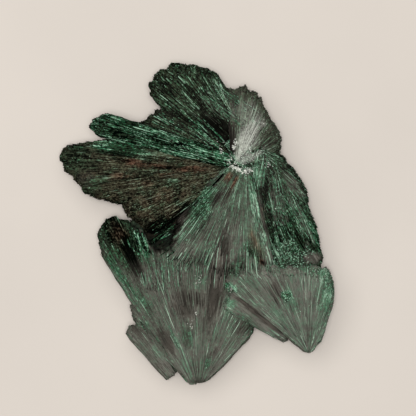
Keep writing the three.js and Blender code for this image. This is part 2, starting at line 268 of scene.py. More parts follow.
# Markings of the fans: (x, y, half length, half width, direction of the length in degrees, amount).
markings = {
    "stain": (
        (5, -14.5, 11, 1.7, 81, 0.35), (-1.5, -18.8, 5, 2.2, -8, 0.35), (19.6, -16.1, 2, 1.4, -60, 0.3),
        (-15.5, 15.4, 5, 1.4, -15, 0.9), (-9.5, 14.6, 3.2, 0.9, -8, 0.9), (-1.2, 13.7, 4.6, 1.2, 0, 0.9),
        (-12, 10.4, 2.6, 1, -15, 0.8), (-11.7, 8.7, 12, 3.5, 14, 0.55), (-9.2, 6, 11, 3.6, 33, 0.74),
        (-19, 12.2, 4, 1, -4, 0.85), (-8.5, 12.4, 4, 0.9, 8, 0.85), (7.8, 11.7, 2, 1.2, 60, 0.9),
        (9, 9.9, 3.4, 0.6, 62, 1), (16.3, 3.7, 3.6, 1, 85, 0.8), (16.3, -9.3, 1.5, 0.9, -50, 0.9),
        (14.1, -3.4, 2.2, 1.5, -60, 0.8), (15.2, -5.9, 4, 2, -60, 0.64), (13.4, -1.9, 1.2, 0.7, -60, 0.9),
        (-19, -3, 5, 3, -60, 0.75),
    ),
    # Dark: partly painted shade in crevices, in gaps between fans and beside raised lobes, partly dark
    # patches of the stone.
    "dark": (
        (-9.5, 21, 4, 0.8, -25, 0.5), (3, 33, 3, 1.6, -30, 0.4), (-6, 33.5, 3, 1.5, -50, 0.4),
        (-29.5, 17.2, 3.5, 0.8, -15, 0.7), (-6.7, 14.2, 2.2, 0.5, 0, 1), (-18.7, 15.9, 2.6, 0.5, 0, 0.8),
        (-4.7, 9.2, 1.2, 0.4, 30, 1), (-19.2, 22.7, 2.6, 1.5, -20, 0.5), (5.3, 24.1, 5.4, 2.8, -32, 1.5),
        (8.6, 19.8, 3.6, 1.3, 85, 2), (5, 6.7, 3.2, 0.6, 65, 1.4), (7, 7.4, 1.8, 1.2, 60, 0.7),
        (17.2, 8.4, 1.6, 0.8, 85, 1.2), (16.6, -0.6, 1.6, 0.8, 85, 0.9), (22, -3.3, 2.4, 1.6, 60, 0.8),
        (13.2, -7, 2.6, 0.5, -58, 0.5), (17, -9.6, 1.4, 0.5, -20, 1), (16.9, 9, 5, 0.5, 84, 0.7),
        (18.3, 1.2, 2.6, 0.4, 84, 1.2), (-15.4, -11, 3, 1.6, -60, 0.8), (-20.5, -1.5, 5, 3, -60, 0.55),
        (-17.2, -4.4, 3, 1.6, -60, 0.9), (0, -1, 5.5, 4.5, 45, 0.16), (25.5, -3.8, 3, 0.7, -65, 0.9),
        (20.3, -7.6, 1.3, 0.8, -50, 0.9), (22, -9.3, 1.3, 0.5, 0, 1.2), (5.2, -13.6, 14.5, 2.6, 81, 0.7),
        (-2.2, -18.3, 5.4, 2.2, -8, 1), (-3.5, -21.5, 3.4, 1.8, -20, 0.6),
        (15.5, -22.6, 8.5, 0.8, -39, 0.9), (-5.7, -0.2, 7.4, 2.1, 54, 1.8), (-8.9, -4.4, 3.8, 1.9, 8, 1.5),
        (-16.2, -8.3, 6, 1.7, -62, 1.1), (19.8, -16.3, 2.8, 2.4, -60, 0.9), (-8, -29, 4.5, 1.8, -60, 0.7),
        (-14.6, -27, 3.4, 0.8, -50, 0.4), (0.5, 30, 4.5, 1.2, -45, 0.6), (-4.5, 27, 3.5, 1, -38, 0.5),
        (10.8, -26.3, 2.4, 1, 0, 0.9), (4.5, -31.8, 2.2, 0.9, 45, 0.6), (-19.5, 17, 3, 1.2, -30, 0.6),
        (-19.5, 19.2, 7.5, 2.4, -8, 0.3), (-9.5, -2.2, 4.8, 3.6, 50, 1.4), (-30.5, 16.5, 4.5, 4.5, 0, 0.25),
    ),
    # Bright: partly painted highlights along edges and ledges that catch the light, partly lighter fibres.
    "bright": (
        (-8, 17.6, 9.5, 0.6, 2, 0.9), (16.8, -2.6, 6.8, 0.4, -65, 0.7), (15.3, -5.2, 3.4, 0.9, -60, 0.7),
        (22.3, -17.3, 1.7, 1.5, 0, 0.7), (14.9, -4.9, 4, 1.9, -60, 0.5), (7.4, -15.4, 2.4, 1.2, -20, 0.6),
        (32.3, -15.5, 7, 1.5, 86, 0.12), (8.8, -19.8, 1.8, 1.3, 0, 0.35), (8.4, -15.4, 1.6, 1, -20, 0.9),
        (-9.6, -32.4, 3, 1, -48, 0.35), (23, -6.3, 3.4, 2.6, -30, 0.25), (0.8, -14.8, 2.2, 1.6, 60, 0.5),
        (-5.2, -29, 4.6, 0.5, -62, 0.8), (9, 16.5, 3, 1, -40, 0.9), (12, 13.6, 2.6, 0.6, 0, 0.9),
        (-20.6, 21, 3.6, 1.6, -20, 0.4),
    ),
    "green": (
        (-6.7, 10.4, 2.6, 1, 10, 0.8), (-19, 19, 8.5, 2.6, -6, 1), (-30.5, 16.5, 4.5, 4.5, 0, 0.6),
        (-27, 9, 4, 2, 40, 0.5), (23.3, 0, 3.4, 0.9, 78, 0.9), (29.6, -3.2, 4.6, 1.5, -72, 1),
        (12.8, -6.3, 2.6, 0.8, -50, 1), (8, -15.6, 2.2, 1.2, -20, 1), (-18.5, -13.5, 7, 1, -52, 0.8),
        (-14.2, -5, 5.4, 1.9, -68, 0.9), (32.4, -17, 8, 2.6, 86, 0.5), (29, -11.5, 5, 1.2, -15, 0.6),
        (-5, -9.5, 9, 2.6, 3, 0.3), (24, -20, 3.4, 2, -60, 0.35), (-2.4, -28.6, 3.6, 1.7, -75, 0.6),
        (2.8, -35, 2, 0.8, 70, 0.6), (8.8, -19.8, 1.8, 1.3, 0, 0.5), (-13, -19.5, 4.5, 1, -55, 0.5),
        (9.8, -10.4, 4, 2, 60, 0.5), (0.8, 3.7, 7.5, 3.4, 60, 0.75), (14.3, 9.9, 4.5, 1.2, 88, 0.6),
        (14.5, -26, 1.5, 6, 50, 0.3),
    ),
    "deep": (
        (-19.5, -3, 11.5, 7.5, -62, 1), (-9, -2.5, 6, 4, 30, 0.9), (0, 5, 6, 3, 45, 0.5),
        (14, -6.8, 4, 1.3, -58, 0.8),
    ),
    # Pale: partly a painted grey sheen over the fibres, partly paler patches of the stone.
    "pale": (
        (13.3, 29, 5, 3.4, -50, 0.6), (15.9, 4.4, 3.2, 0.9, 80, 1), (29.2, -8.4, 2.7, 1.8, 0, 0.95),
        (-28, 11.4, 3, 2.6, 0, 0.35), (24.5, 9.5, 4.5, 1.8, -55, 0.6),
    ),
    # A whitish sheen painted over the fibres, near the focus and on the north-east fan.
    "paintedSheen": (
        (12.7, 21.4, 5.8, 2.7, 62, 0.75), (12.8, 26.9, 5, 3.4, -45, 0.2), (11.6, 16.8, 3, 1.8, 0, 0.5),
        (16.2, 25, 1.5, 1, 0, 0.5), (15, 17.5, 2.4, 0.7, 35, 0.5),
    ),
    "smooth": (
        (4.8, -15.1, 13.5, 2, 81, 1), (-5.2, -20.3, 2.4, 2, 0, 1), (19.8, -16.7, 2.4, 2.1, 60, 1),
        (16, 4.9, 3.2, 0.9, 80, 1), (-9.7, -16.8, 2.4, 1.4, 20, 0.8), (29.3, -8.4, 2.4, 1.5, 0, 0.9),
        (16.2, -24, 8.5, 1.8, -34, 0.8),
    ),
    "glints": (
        (31.9, -15, 8.5, 2, 86, 0.6), (29.5, -11.4, 4.8, 1.5, -10, 0.25), (22.5, -10.4, 7, 1, 0, 0.2),
        (25, -24.5, 2.4, 1, -55, 0.12), (24, -20, 4.5, 0.7, -60, 0.1), (22.4, -17.2, 1.4, 1, 60, 0.8),
        (7.4, -16.2, 2.2, 1.5, -30, 0.12), (0, -15.4, 2, 1.5, 0, 0.2), (-8, 17.2, 11, 1.4, 0, 0.1),
        (-20, 20.5, 7, 4, -10, 0.12), (-12, 17.2, 8, 0.7, 3, 0.3), (17.8, 30, 6, 0.9, -60, 0.15),
        (24.6, 10.5, 5, 1, -58, 0.12), (-30.5, 17, 4.5, 3.5, 0, 0.1), (-22.8, -1, 3.6, 2, -60, 0.12),
        (-4, 37, 7, 3, 15, 0.06),
    ),
    "crumbly": (
        (-19, 21, 5.6, 3.4, -20, 0.9), (31.3, -16.8, 7.5, 2.4, 88, 1), (-30.5, 16.5, 5, 5, 0, 0.9),
        (-21.5, -3, 6, 3.4, -65, 1), (11, 33.5, 5, 3, -30, 0.8), (26, -23, 3, 2, -60, 0.7),
        (0.5, -15, 3, 2.2, 60, 0.6),
    ),
}
# How far each kind of marking moves the tone of the fibres.
markingTones = {"dark": -0.6, "bright": 0.5, "green": 0.18, "pale": 0.05, "deep": -0.12, "smooth": -0.06}

# Hollows in the tops of the fans: (x, y, half length, half width, direction of the length, depth).
dents = (
    (8.1, 19.8, 3.6, 1.1, 85, 3.5), (5, 23.3, 5, 2.2, -28, 2.2), (17, 6, 7.5, 1.1, 86, 2.4),
    (5, 6.7, 3.2, 0.6, 65, 1.4), (5.2, -13.6, 13.5, 2.2, 81, 1.6), (-15.8, -8.3, 6, 1.7, -62, 1.6),
    (-1.5, -18.3, 4.6, 2, -8, 0.8), (15.6, -7.2, 3, 1.2, -55, 1.2), (19.6, -16.1, 2, 1.4, -60, 0.5),
    (10.8, -26.3, 2.4, 1, 0, 0.6), (-7.5, -27.5, 5, 1.2, -62, 0.7),
)

brokenBack = {
    "middle": (4, 0),
    "profile": ((0, 0), (0.864, 0), (0.9, 3), (1.07, 8.5), (0.74, 11), (0, 13)),
    "wallRoughness": 1.4,
    "cornerSteps": 10,
    "levelSteps": 8,
    "crumble": 0.75,
    "bumps": ((1, 2.2, 0.8, 60), (0.6, 6, 1.3, 61), (0.4, 15, 2.6, 62)),
    "brokenFoot": 1.1,
    "crumbs": {"count": 2600, "spread": 6.0, "length": (0.3, 0.7), "width": (0.4, 1.0), "tone": (0.05, 0.25)},
    "corners": (
        (-9.5, 14.5), (-13.8, 11.8), (-15.6, 7.2), (-13.4, 3.8), (-15.2, -0.6), (-14.2, -5.2),
        (-15.8, -9.4), (-11.2, -12.2), (-9.9, -17.6), (-5.6, -19.4), (-2.8, -25.2), (2.2, -26.9),
        (6.3, -24.4), (10.8, -26.3), (13.2, -21.2), (17.6, -18.6), (18.4, -13.2), (22.9, -9.1), (23.2, -3),
        (20.8, 1.2), (22.4, 7.5), (18.9, 11.6), (18.3, 17.4), (12.9, 20.6), (9, 25.6), (3.2, 24.4),
        (-2, 26.8), (-5.2, 21.9), (-8, 20.8),
    ),
}

# Rounded tufts of short fibres: (x, y, z, radius), with bumps of (size, pitch, pitch upwards, seed).
tufts = {
    "places": (
        (12, 17, 16.5, 5.2), (21.3, -7.4, 15, 3.1), (24.4, -8.8, 15.3, 2.6), (23.4, -4.6, 14.9, 2.5),
        (27, -6.9, 14.7, 2.3), (22.5, -17.4, 18.3, 1.4), (18.6, -9.6, 17.6, 1.4), (21.6, -9.3, 17.9, 1.5),
        (24.8, -9.1, 17.8, 1.6), (27.4, -9.9, 17.6, 1.2),
    ),
    "needlesPerArea": 9.0,
    "needles": {"spread": 0.65, "length": (0.4, 1.1), "width": (0.22, 0.42), "sink": 0.1},
    "facetFrom": 26.0,  # east of this, the places marked "smooth" have no needles
    "inset": 0.06,
    "roughness": 0.3,
    "bumps": ((1, 3.1, 2, 40), (0.5, 7, 5, 50)),
    "shade": (0.42, 0.42, 0.7),
    # The ball under the needles is darker: painted shade between them.
    "bodyTone": -0.25,
}

# White needles scattered over a few spots, painted sparkle that stands in for glints: (x, y, spread, number).
paintedSparkle = {
    "places": (
        (6.6, 17.6, 0.4, 40), (6.2, 19, 0.4, 14), (8, 16.3, 0.5, 80), (9.2, 14.8, 0.5, 90),
        (10.6, 13.9, 0.45, 80), (12.2, 13.5, 0.45, 70), (13.4, 13.4, 0.4, 30), (9.6, 19.4, 0.4, 30),
        (10, 20.8, 0.4, 20), (13, 18, 0.8, 20), (11.2, 16.6, 1.6, 50), (16.6, 25.6, 0.5, 16),
        (17.2, 23, 0.4, 10), (17.8, 15.3, 0.6, 22), (5.5, 20.5, 1, 14), (0.2, -22.2, 0.35, 9),
        (-1.2, -25, 0.7, 7), (0.6, -14, 0.9, 14), (20.4, 3.8, 0.4, 8), (8.8, -16, 0.4, 10),
    ),
    "spread": 0.6,
    "length": (0.2, 0.45),
    "width": (0.25, 0.5),
    "sink": 0.05,
    "tone": (0.8, 1.2),
}

# Bundles of fibres that lie across the seams between fans, and long light or dark ones:
# (x, y at one end, x, y at the other, spread, number, tone, paleness partly painted as glare, stoutness).
crossings = {
    "bundles": (
        (2, 34, 13.5, 25, 2.2, 110, 0.3, 0.25, 1), (11.6, 29.4, 15.3, 24.9, 0.15, 8, 0.9, 0.1, 1),
        (-2.2, 26.9, 6.3, 19.4, 0.9, 45, 0.5, 0, 1), (-11.7, 26.7, 4.5, 17.4, 1.5, 70, 0.4, 0.1, 1),
        (16.2, 18.5, 15, 9.5, 1, 70, 0.5, 0.35, 1), (13.6, 10.5, 16, -1.5, 0.7, 50, 0.55, 0.5, 1),
        (16.3, -1, 20.2, -9.4, 0.8, 60, 0.5, 0.5, 1), (18.8, 13.7, 21.5, 0, 1.2, 45, 0.36, 0.4, 0.9),
        (22, 11, 28.5, -5, 0.8, 36, 0.36, 0.4, 0.9), (-3.7, 1.2, -9.2, -3.3, 0.5, 20, 0.25, 0, 1),
        (-15, -0.8, -12.7, -7.8, 1.4, 36, 0.3, 0, 2), (-12.7, -10.3, -11.2, -16.3, 1.3, 20, 0.3, 0.6, 1.3),
        (-10, -8.3, -8.7, -16.3, 1.3, 20, 0.3, 0.6, 1.3),
        (-7.2, -6.8, -6.5, -15.8, 1.3, 20, 0.3, 0.65, 1.3),
        (-4.7, -8, -4.4, -15.8, 1.3, 20, 0.3, 0.65, 1.3),
        (-2.2, -7.6, -2.3, -15.1, 1.3, 20, 0.3, 0.65, 1.3),
        (0.8, -6.4, 0.3, -13.8, 1.3, 20, 0.3, 0.65, 1.3), (-7.2, -25.1, -4, -30.8, 0.25, 6, 0.5, 0.5, 0.8),
        # The bundle from (-3, 2) and the two after it are dark fibres across the crevice west of the south
        # fan: painted shade, with a few bright splinters.
        (5.9, -4, 4.4, -16.5, 1.1, 60, 0.1, 0.95, 1.5), (-3, 2, -11.5, -4.5, 1.8, 60, 0.04, 0, 1.2),
        (-4, -1.6, -9.2, -4.2, 1.1, 26, 0.2, 0, 0.7), (-5.2, -3.6, -9.6, -6.6, 0.9, 16, 0.12, 0, 0.7),
    ),
    "latestStart": 0.55,
    "share": (0.3, 0.8),  # of a bundle's length, that one fibre has
    "step": 0.8,
    "steepest": 1.4,
    "lift": 0.08,
    "width": (0.14, 0.34),
    "endWidth": 0.55,
    "height": 0.6,
    "shade": (0.14, 0.2),
}

# Small bright needles that paint glints, on the places marked "glints".
glints = {
    "perArea": 30.0,
    "spread": 0.6,
    "length": (0.15, 0.4),
    "width": (0.22, 0.45),
    "sink": 0.08,
    "tone": (0.5, 1.3),
    "clear": 0.25,
}


def raggedEdge(xy):
    coarse = softNoise(xy[..., 0] * 0.7 + 11, xy[..., 1] * 0.7, 71)
    return 0.35 * coarse + 0.3 * softNoise(xy[..., 0] * 2.1 + 5, xy[..., 1] * 2.1, 72)


# 1 inside an ellipse with a ragged edge, and 0 outside.
def ellipseMask(xy, edge, x, y, halfLength, halfWidth, turn):
    angle = math.radians(turn)
    dx, dy = xy[..., 0] - x, xy[..., 1] - y
    length = (dx * math.cos(angle) + dy * math.sin(angle)) / halfLength
    width = (dy * math.cos(angle) - dx * math.sin(angle)) / halfWidth
    return smoothStep(1.6 * (1 - np.hypot(width, length)) + edge + 0.2)


def dentDepth(xy):
    edge = raggedEdge(xy)
    return sum(depth * ellipseMask(xy, edge, *ellipse) for *ellipse, depth in dents)


def markingMask(xy, kind, edge=None):
    edge = raggedEdge(xy) if edge is None else edge
    mask = np.zeros(xy.shape[:-1])
    for *ellipse, amount in markings[kind]:
        mask = np.maximum(mask, amount * ellipseMask(xy, edge, *ellipse))
    return mask


def pointAlong(row, place):  # carried on past both ends
    i = int(np.clip(math.floor(place), 0, len(row) - 2))
    return row[i] + (row[i + 1] - row[i]) * (place - i)


def columnsOf(fan, fanIndex):
    heads, focus = np.array(fan["heads"], float), np.array(fan["focus"], float)
    outwards = heads[len(heads) // 2] - focus
    across = unit(np.array((-outwards[1], outwards[0], 0)))
    if (heads[-1] - heads[0]) @ across < 0:
        heads = heads[::-1]
    last = len(heads) - 1
    number = fanIndex * growth["numbersPerFan"] + np.arange(len(heads))

    def grooveDrop(i):
        width = np.linalg.norm(pointAlong(heads, i + 0.5) - pointAlong(heads, i - 0.5))
        return growth["grooveShare"] * width * (0.65 + 0.35 * jitter(number[i], 8))

    def notchAt(i):
        return growth["notch"] * (0.5 + 0.4 * jitter(number[i], 9))

    def column(i, place, **shape):
        spot = i + place
        start = focus + across * ((2 * spot + 1) / len(heads) - 1) * fan["neck"]
        return {"blade": number[i], "spot": spot, "start": start, "end": pointAlong(heads, spot), **shape}

    def edge(i, place):
        drop = grooveDrop(i) + growth["edgeDrop"]
        swell = -0.5 * fan["lumps"]
        return column(i, place, drop=drop, inset=notchAt(i), swell=swell, depthShare=growth["edgeDepth"])

    columns = [edge(0, -growth["edgePlace"])]
    for i in range(len(heads)):
        if i > 0:
            place = -0.5 + growth["grooveShift"] * jitter(number[i], 7)
            groove = {"drop": grooveDrop(i), "inset": notchAt(i), "swell": -0.5 * fan["lumps"]}
            columns.append(column(i, place, depthShare=0.9, **groove))
        for side, place in enumerate(growth["crestPlaces"]):
            inset = 0.1 * growth["notch"] * (1 + jitter(number[i], 10 + side))
            columns.append(column(i, place, drop=0, inset=inset, swell=fan["lumps"], depthShare=1))
    columns.append(edge(last, growth["edgePlace"]))
    return columns


def rowPlacesOf(columns, blunt):  # shares of the way from the focus to the head
    reach = max(np.linalg.norm((c["end"] - c["start"])[:2]) for c in columns)
    count = max(8, round(growth["shoulder"] * reach / growth["rowStep"]))
    body = np.linspace(0, growth["shoulder"], count, endpoint=False)
    if blunt:
        end = growth["bluntLength"] / reach
        body = np.concatenate([end * np.array((0, 0.06, 0.18, 0.36, 0.6, 0.9)), body[body > end * 1.2]])
    roundHead = 1 - (1 - growth["shoulder"]) * np.cos(np.linspace(0, math.pi / 2, 9))[:-1]
    return np.concatenate([body, roundHead, [1.0]])


def columnLines(fan, column, v):
    start, end, blade = column["start"], column["end"], column["blade"]
    flat = (end - start) * (1, 1, 0)
    reach, direction = np.linalg.norm(flat) - column["inset"], unit(flat)
    middle = start[2] + (end[2] - start[2]) * v

    def under(v):
        return start[2] + (end[2] - start[2]) * v - between(fan["depths"], v) * column["depthShare"]

    ledge = growth["ledge"] + growth["ledgeShift"] * jitter(blade, 5)
    foot = growth["ledgeFoot"] + growth["ledgeShift"] * jitter(blade, 5)
    broken = 0.5 * growth["ledgeRise"] * (1 + jitter(blade, 4))
    top = middle + growth["headRise"] * jitter(blade, 1) * np.minimum(3 * v, 1)
    top = top + fan["bow"] * np.sin(math.pi * v) * (1 + 0.4 * jitter(blade, 2)) - column["drop"] * v
    top = top + broken * np.where(v < ledge, v / ledge, np.clip((foot - v) / (foot - ledge), 0, 1))
    top = top + column["swell"] * np.clip((v - foot) / (growth["shoulder"] - foot), 0, 1)
    nose = end[2] - column["drop"]
    nose = nose + (under(1.0) - nose) * growth["noseDrop"]

    def rounded(line, first):
        k = np.clip((v - first) / (1 - first), 0, 1)
        atFirst = np.interp(first, v, line)
        fall = 0.5 * (1 - k) + 0.5 * np.sqrt(1 - k * k)
        return np.where(v > first, nose + (atFirst - nose) * fall, line)

    plan = start + direction * (v * reach)[:, None]
    lines = []
    for line, first in ((top, growth["shoulder"]), (under(v), growth["underEdge"])):
        points = plan.copy()
        points[:, 2] = rounded(line, first)
        lines.append(points)
    return lines[0], lines[1], direction


def alongRow(rows, places):  # a smooth curve through the rows, at fractional places
    i = np.clip(np.floor(places).astype(int), 0, len(rows) - 2)
    t = (places - i).reshape(-1, *([1] * (rows.ndim - 1)))
    before, here, there, after = (rows[np.clip(i + k, 0, len(rows) - 1)] for k in (-1, 0, 1, 2))
    bend = 2 * before - 5 * here + 4 * there - after
    return here + 0.5 * t * ((there - before) + t * (bend + t * (3 * (here - there) + after - before)))


def fitPlan(points):
    fitted = points.copy()
    fitted[..., :2] = (points[..., :2] - plan["middle"]) * plan["scale"]
    return fitted


def normalsOf(grid):
    across = np.gradient(grid, axis=0)
    along = np.gradient(grid, axis=1)
    return unit(np.cross(along, across))


# Rounded ridges along the blades that end one after another. Their tone is painted shade and light:
# darker in the grooves between ridges and lighter on the crests, besides a random tone for each ridge.
bundles = {
    "perBlade": 4,
    "relief": 0.35,
    "wander": 0.35,
    "ends": (0.65, 0.4),  # where they end on a blade, and how far that varies
    "step": 0.012,
    "stepDrop": 0.7,  # share of a ridge's height that is gone beyond its end
    "fullWidth": 3,  # of a blade with ridges of full height
    "least": 0.12,
    "height": (0.65, 0.35),
    "shading": 0.45,
    "ownTone": 0.3,
}


def bundleRelief(spots, v, widths, seed):  # their heights and their tones
    wander = bundles["wander"] * softNoise(spots * 1.3 + 7, v * 3, seed)
    place = spots * bundles["perBlade"] + wander
    cell = np.floor(place)
    local = 2 * (place - cell) - 1
    ridge = np.sqrt(np.clip(1 - local * local, 0, 1))
    middle, spread = bundles["ends"]
    past = smoothStep((v - (middle + spread * jitter(cell, seed + 1))) / bundles["step"])
    size = np.clip(widths / bundles["fullWidth"], bundles["least"], 1)
    middle, spread = bundles["height"]
    rise = (middle + spread * jitter(cell, seed)) * ridge * (1 - bundles["stepDrop"] * past)
    relief = bundles["relief"] * size * (rise - 0.5)
    own = np.where(past > 0.5, jitter(cell, seed + 3), jitter(cell, seed + 2))
    return relief, bundles["shading"] * (ridge - 0.9) + bundles["ownTone"] * np.clip(own, 0, 1) ** 2


def fanGrids(fan, fanIndex):
    columns = columnsOf(fan, fanIndex)
    for column in columns:
        if column["drop"] > 0:
            column["inset"] *= growth["notchKept"]
            column["drop"] *= 0.5 + 0.5 * growth["notchKept"]
    blunt = fan.get("bluntEnd", False)
    v = rowPlacesOf(columns, blunt)
    lines = [columnLines(fan, column, v) for column in columns]
    places = [0.0]
    for j in range(len(columns) - 1):
        gap = np.linalg.norm(columns[j + 1]["end"] - columns[j]["end"])
        steps = max(2, math.ceil(gap / growth["columnStep"]))
        places += list(j + np.arange(1, steps + 1) / steps)
    places = np.array(places)
    top, under = (alongRow(np.array([line[k] for line in lines]), places) for k in (0, 1))
    directions = unit(alongRow(np.array([line[2] for line in lines]), places))
    spots = np.interp(places, np.arange(len(columns)), [c["spot"] for c in columns])[:, None]
    isGroove = [j for j in range(1, len(columns) - 1) if columns[j]["drop"] > 0]
    if isGroove:
        offGroove = np.abs(places[:, None] - np.array(isGroove)[None, :]).min(1)[:, None]
        top[..., 2] -= growth["grooveCut"] * np.exp(-growth["grooveSlope"] * offGroove) * np.clip(2 * v, 0, 1)
    coarse, fine = growth["rimRoughness"]
    rim = coarse * softNoise(spots * growth["rimPitch"][0], spots * 0 + fanIndex, 83)
    rim = rim + fine * softNoise(spots * growth["rimPitch"][1], spots * 0 + 9, 84)
    outline = directions[:, None] * (rim * smoothStep((v - 0.7) / 0.3))[..., None]
    top, under = top + outline, under + outline
    if blunt:
        centres = (top.mean(axis=0) + under.mean(axis=0)) / 2
        reach = np.linalg.norm(centres[-1] - centres[0])
        size = np.sqrt(1 - growth["bluntShare"] * np.clip(1 - v * reach / growth["bluntLength"], 0, 1) ** 2)
        top, under = (centres + (grid - centres) * size[:, None] for grid in (top, under))
    top[..., 2] -= dentDepth(top) * smoothStep((1 - v) / 0.15)
    headWidth = np.linalg.norm(np.diff(np.array(fan["heads"]), axis=0), axis=1).mean()
    widths = between((2 * fan["neck"] / len(fan["heads"]), headWidth), v)
    seed = 20 + fanIndex
    grids, tones = [], []
    for grid, sign, salt in ((top, 1, 0), (under, -1, 50)):
        normals = normalsOf(grid) * sign
        normals *= np.sign((normals * (0, 0, sign)).sum(-1, keepdims=True) + 1e-9)
        normals[:, -1] = directions
        relief, tone = bundleRelief(spots + salt, np.broadcast_to(v, grid.shape[:2]), widths, seed + salt)
        if sign > 0:
            relief = relief * (1 - growth["smoothing"] * markingMask(grid, "smooth"))
        size, pitch = growth["roughness"]
        rough = size * planNoise(grid, pitch, seed + salt + 3)
        crumbly = fan["crumbly"][1] * smoothStep((v - fan["crumbly"][0] + 0.1) / 0.2)
        for size, pitch in zip(growth["headLumps"], growth["lumpPitch"]):
            rough = rough + size * crumbly * planNoise(grid, pitch, seed + salt + 4)
        grids.append(grid + normals * (relief + rough)[..., None])
        tones.append(tone)
    top, under = grids
    under[:, -1] = top[:, -1]
    return {"top": fitPlan(top), "under": fitPlan(under), "tones": tones, "v": v, "spots": spots[:, 0]}


# Rings run round a fan from its focus outwards, a line of points closes them at the heads, and faces between
# top and underside close them at the focus.
def fanFaces(columnCount, wall, ringCount):
    ringSize = 2 * (columnCount + wall)
    lastColumn, underStart = columnCount - 1, columnCount + wall
    lastRing, nose = (ringCount - 1) * ringSize, ringCount * ringSize
    k, i = np.meshgrid(np.arange(ringCount - 1), np.arange(ringSize), indexing="ij")
    j = (i + 1) % ringSize
    here, beyond = k * ringSize, (k + 1) * ringSize
    across = np.arange(lastColumn)
    below, mirrored = lastRing + underStart + across, nose + lastColumn - across
    bottom = underStart + lastColumn - across
    quads = [
        np.stack([here + i, beyond + i, beyond + j, here + j], -1),
        np.stack([lastRing + across, nose + across, nose + across + 1, lastRing + across + 1], -1),
        np.stack([below, mirrored, mirrored - 1, below + 1], -1),
        np.stack([across, across + 1, bottom - 1, bottom], -1),
    ]
    triangles = []
    for start, tip in ((lastColumn, nose + lastColumn), (underStart + lastColumn, nose)):
        side = start + np.arange(wall + 1)
        ends = [lastRing + side, np.full(wall + 1, tip), lastRing + (side + 1) % ringSize]
        triangles.append(np.stack(ends, -1))
    firstCap = np.arange(lastColumn, underStart + 1)
    secondCap = np.concatenate([np.arange(underStart + lastColumn, ringSize), [0]])
    fourSided = [quad.reshape(-1, 4) for quad in quads]
    return [*fourSided, np.concatenate(triangles), firstCap[None], secondCap[None]]


def sideWalls(top, under, v, share, fanIndex):  # rows of points down the two side edges of a fan
    walls, wallGrids = [], []
    for c, sign in ((len(top) - 1, 1), (0, -1)):
        along = unit((top[c, -1] - top[c, 0]) * (1, 1, 0))
        outwards = sign * np.array((-along[1], along[0], 0))
        first, second = (top, under) if sign > 0 else (under, top)
        line = first[c][:, None] + (second[c] - first[c])[:, None] * share[None, :, None]
        depth = np.abs(top[c, :, 2] - under[c, :, 2])
        bulge = growth["wallBulge"] * np.sin(math.pi * share)[None] * depth[:, None]
        grain = softNoise(v[:, None] * 6, share[None] * 5 + 3 * fanIndex, 90 + fanIndex)
        grain = growth["wallGrain"] * grain * np.clip(depth[:, None] / 3, 0, 1)
        walls.append(line + outwards * (bulge + grain)[..., None])
        wallGrid = np.concatenate([first[c][:, None], walls[-1], second[c][:, None]], axis=1)
        wallGrids.append(wallGrid.swapaxes(0, 1))
    return walls, wallGrids


def closedFan(grids, shade, fanIndex):  # the body of a fan as one closed mesh
    top, under, v, spots = grids["top"], grids["under"], grids["v"], grids["spots"]
    wall, columnCount = growth["wallPoints"], len(top)
    share = (np.arange(wall) + 1) / (wall + 1)
    walls, wallGrids = sideWalls(top, under, v, share, fanIndex)
    rings = [top.swapaxes(0, 1), walls[0], under[::-1].swapaxes(0, 1), walls[1]]
    rings = np.concatenate(rings, axis=1)[:-1]
    points = np.concatenate([rings.reshape(-1, 3), top[:, -1]])
    across = np.concatenate([spots, np.full(wall, spots[-1]), spots[::-1], np.full(wall, spots[0])])
    acrossAll = np.concatenate([np.tile(across, len(rings)), spots])
    alongAll = np.concatenate([np.repeat(v[:-1], rings.shape[1]), np.ones(columnCount)])
    length = np.linalg.norm(top[columnCount // 2, -1] - top[columnCount // 2, 0])
    coords = np.stack([acrossAll * 3 + 50 * fanIndex, alongAll * length, np.zeros(len(points))], -1)
    # Painted shade: the side walls are darker, and the whole body is darker than the fibres on it.
    wallTones = np.full((len(v), wall), growth["wallTone"])
    ringTones = [grids["tones"][0].T, wallTones, grids["tones"][1][::-1].T, wallTones]
    calm = np.clip(5 * shade[1], 0.4, 1) * (0.35 + 0.65 * v)
    tone = (np.concatenate(ringTones, axis=1) * calm[:, None])[:-1].reshape(-1)
    tone = shade[0] + growth["bodyTone"] + np.concatenate([tone, grids["tones"][0][:, -1]])
    faces = fanFaces(columnCount, wall, len(rings))
    return {"points": points, "faces": faces, "tone": tone, "coords": coords}, wallGrids


def sample(grid, across, along):
    i = np.clip(np.floor(across).astype(int), 0, grid.shape[0] - 2)
    j = np.clip(np.floor(along).astype(int), 0, grid.shape[1] - 2)
    p, q = (across - i)[..., None], (along - j)[..., None]
    near = grid[i, j] * (1 - q) + grid[i, j + 1] * q
    far = grid[i + 1, j] * (1 - q) + grid[i + 1, j + 1] * q
    return near * (1 - p) + far * p


